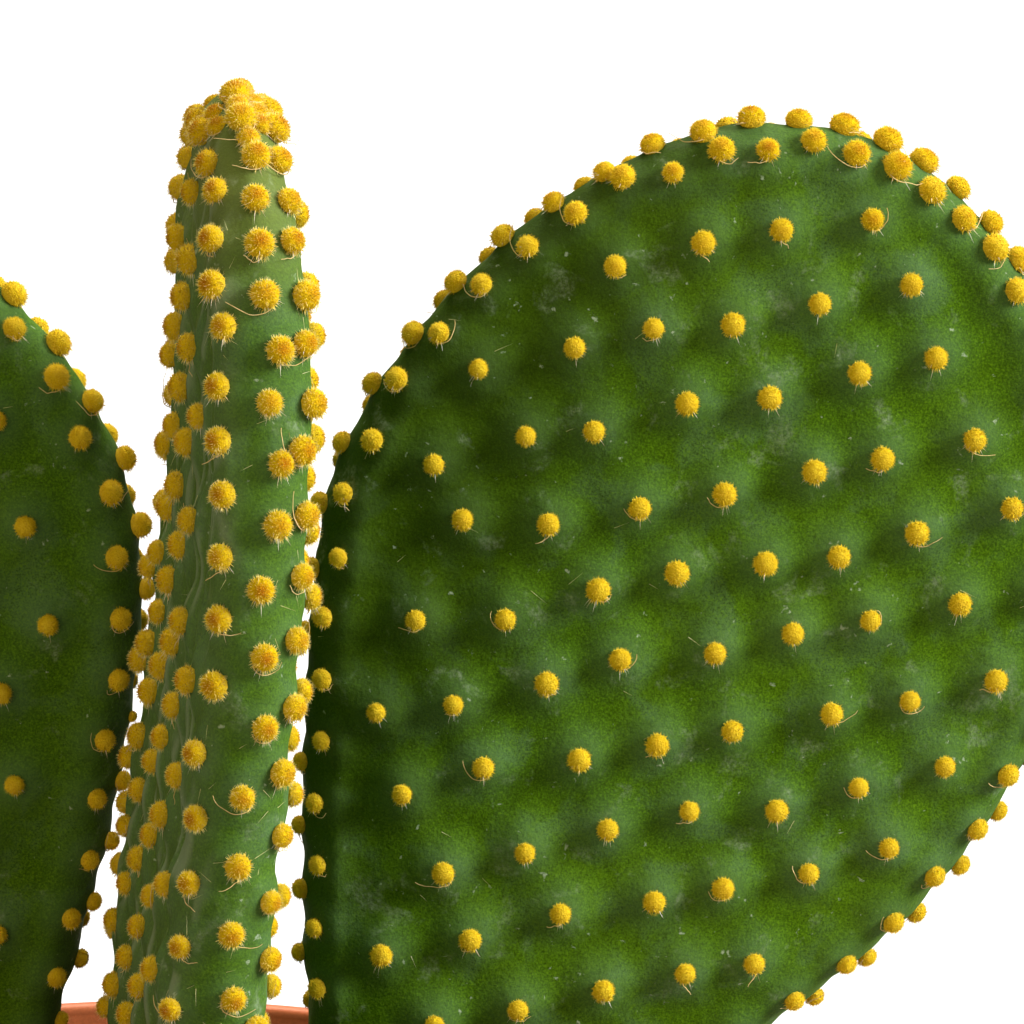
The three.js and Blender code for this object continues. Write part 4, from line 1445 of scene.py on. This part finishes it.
class CACTUS_OT_filaments(bpy.types.Operator):
    """Grow the curled filaments and strew the loose needles"""

    bl_idname = "cactus.filaments"
    bl_label = "Filaments"

    def execute(self, context):
        settings = context.scene.cactus_tuft
        relief = context.scene.cactus_skin.relief / MM
        strand = hair_finish("filament", tinted(settings.filament_colour), (0.9, 0.72, 0.4, 1))
        needle = hair_finish("loose_needle", (0.6, 0.58, 0.25, 1), (0.85, 0.85, 0.6, 1))
        for side, grown in grown_pads().items():
            filaments = object_of(f"filaments_{side}", tuft_points("filaments", grown, relief))
            grow(filaments, filament_tree(), TREE_ATTRIBUTES, share=0.6, shortest=0.5,
                 longest=2.6, trail=1.2, thickness=0.000065, curl=1.0, seed=13, material=strand)
            needles = object_of(f"needles_{side}", bpy.data.objects[f"skin_{side}"].data.copy())
            grow(needles, needle_tree(), TREE_ATTRIBUTES + SKIN_MASKS, seed=17, material=needle)
            for piece in (filaments, needles):
                hand_over(piece, "pad", f"pad_{side}")
        return {"FINISHED"}


# ---- the stage -----------------------------------------------------------------------------

LOOK_AT = (0.041, 0.0, 0.1728)
PIXELS_PER_TANGENT = 6666.7
FRAME_PIXELS = 1024
SENSOR_WIDTH = 36.0
FLOOR_RADIUS = 3000
FLOOR_DROP = 0.05  # how far it lies below the pot's foot
FLOOR_SIDES = 96

# Of each soft light, in degrees: its place to the right of the camera's side, its height and
# its width, and then its colour.
LIGHTS = {
    "key": (79, 27, 26, (1, 1, 1)),
    "fill": (-26, 15, 40, (1, 0.82, 0.45)),
    "top": (12, 72, 30, (1, 1, 1)),
    "back": (180, 60, 40, (1, 0.92, 0.8)),
}


def soft_light(name, strength):
    azimuth, elevation, softness, colour = LIGHTS[name]
    data = bpy.data.lights.new(name, "SUN")
    data.energy = strength
    data.color = colour
    data.angle = math.radians(softness)
    lamp = object_of(name, data)
    lamp.rotation_euler = (math.radians(90 - elevation), 0, math.radians(azimuth))


def studio_camera(drop, distance):
    data = bpy.data.cameras.new("camera")
    data.sensor_width = SENSOR_WIDTH
    data.lens = SENSOR_WIDTH * PIXELS_PER_TANGENT / FRAME_PIXELS
    data.clip_start = 0.01
    data.clip_end = 50.0
    camera = object_of("camera", data)
    camera.location = (LOOK_AT[0], LOOK_AT[1] - distance * math.cos(drop),
                       LOOK_AT[2] + distance * math.sin(drop))
    camera.rotation_euler = (math.pi / 2 - drop, 0, 0)
    return camera


def studio_world(strength):
    """White to the camera, and a faint even light on the object."""
    world = bpy.data.worlds.new("studio")
    world.use_nodes = True
    world.node_tree.nodes.clear()
    board = Board(world.node_tree)
    seen = board.put("ShaderNodeLightPath")["Is Camera Ray"]
    sky = board.put("ShaderNodeBackground", (1, 1, 1, 1),
                    board.spread(seen, 0.0, 1.0, strength, 1.0))
    board.node("ShaderNodeOutputWorld", sky)
    return world


def floor_object():
    """A pale floor that the camera sees as white."""
    finish = Finish("stage_floor", Roughness=0.9, Specular_IOR_Level=0.0,
                    Emission_Color=(1, 1, 1, 1))
    seen = finish.put("ShaderNodeLightPath")["Is Camera Ray"]
    finish.feed(finish.shader.inputs["Emission Strength"], seen)
    angles = np.arange(FLOOR_SIDES) * 2 * math.pi / FLOOR_SIDES
    ring = np.stack([FLOOR_RADIUS * np.cos(angles), FLOOR_RADIUS * np.sin(angles),
                     np.full(FLOOR_SIDES, -FLOOR_DROP)], -1)
    floor = object_of("floor", mesh_of("floor", ring, [range(FLOOR_SIDES)], False))
    floor.data.materials.append(finish.done((0.25, 0.25, 0.25, 1)))
    return floor


class CACTUS_OT_stage(bpy.types.Operator):
    """Set up the camera, the lights and the floor"""

    bl_idname = "cactus.stage"
    bl_label = "Stage"

    def execute(self, context):
        scene = context.scene
        settings = scene.cactus_stage
        scene.camera = studio_camera(settings.camera_drop, settings.camera_distance)
        for name in LIGHTS:
            soft_light(name, getattr(settings, f"{name}_strength"))
        scene.world = studio_world(settings.sky)
        floor = floor_object()
        scene.view_settings.view_transform = "Standard"
        return {"FINISHED"}


# ---- the panel and the run -----------------------------------------------------------------

class CACTUS_PT_panel(bpy.types.Panel):
    """The cactus's settings and the buttons that make its pieces"""

    bl_idname = "CACTUS_PT_panel"
    bl_label = "Paddle cactus"
    bl_space_type = "VIEW_3D"
    bl_region_type = "UI"
    bl_category = "Cactus"

    def draw(self, context):
        for group, (kind, *buttons) in GROUPS.items():
            box = self.layout.box()
            settings = getattr(context.scene, group)
            for name in kind.__annotations__:
                box.prop(settings, name)
            for button in buttons:
                box.operator(button.bl_idname)


GROUPS = {
    "cactus_stage": (CactusStageSettings, CACTUS_OT_stage),
    "cactus_pot": (CactusPotSettings, CACTUS_OT_pot, CACTUS_OT_soil),
    "cactus_skin": (CactusSkinSettings, CACTUS_OT_skins),
    "cactus_tuft": (CactusTuftSettings, CACTUS_OT_tufts, CACTUS_OT_filaments),
}
CLASSES = [*(item for group in GROUPS.values() for item in group), CACTUS_PT_panel]


def register():
    for item in CLASSES:
        bpy.utils.register_class(item)
    for name, (kind, *_) in GROUPS.items():
        setattr(bpy.types.Scene, name, PointerProperty(type=kind))


def unregister():
    for name in GROUPS:
        delattr(bpy.types.Scene, name)
    for item in reversed(CLASSES):
        bpy.utils.unregister_class(item)


def main():
    register()
    bpy.ops.cactus.stage()
    bpy.ops.cactus.pot()
    bpy.ops.cactus.soil()
    bpy.ops.cactus.skins()
    bpy.ops.cactus.tufts()
    bpy.ops.cactus.filaments()


if __name__ == "__main__":
    main()
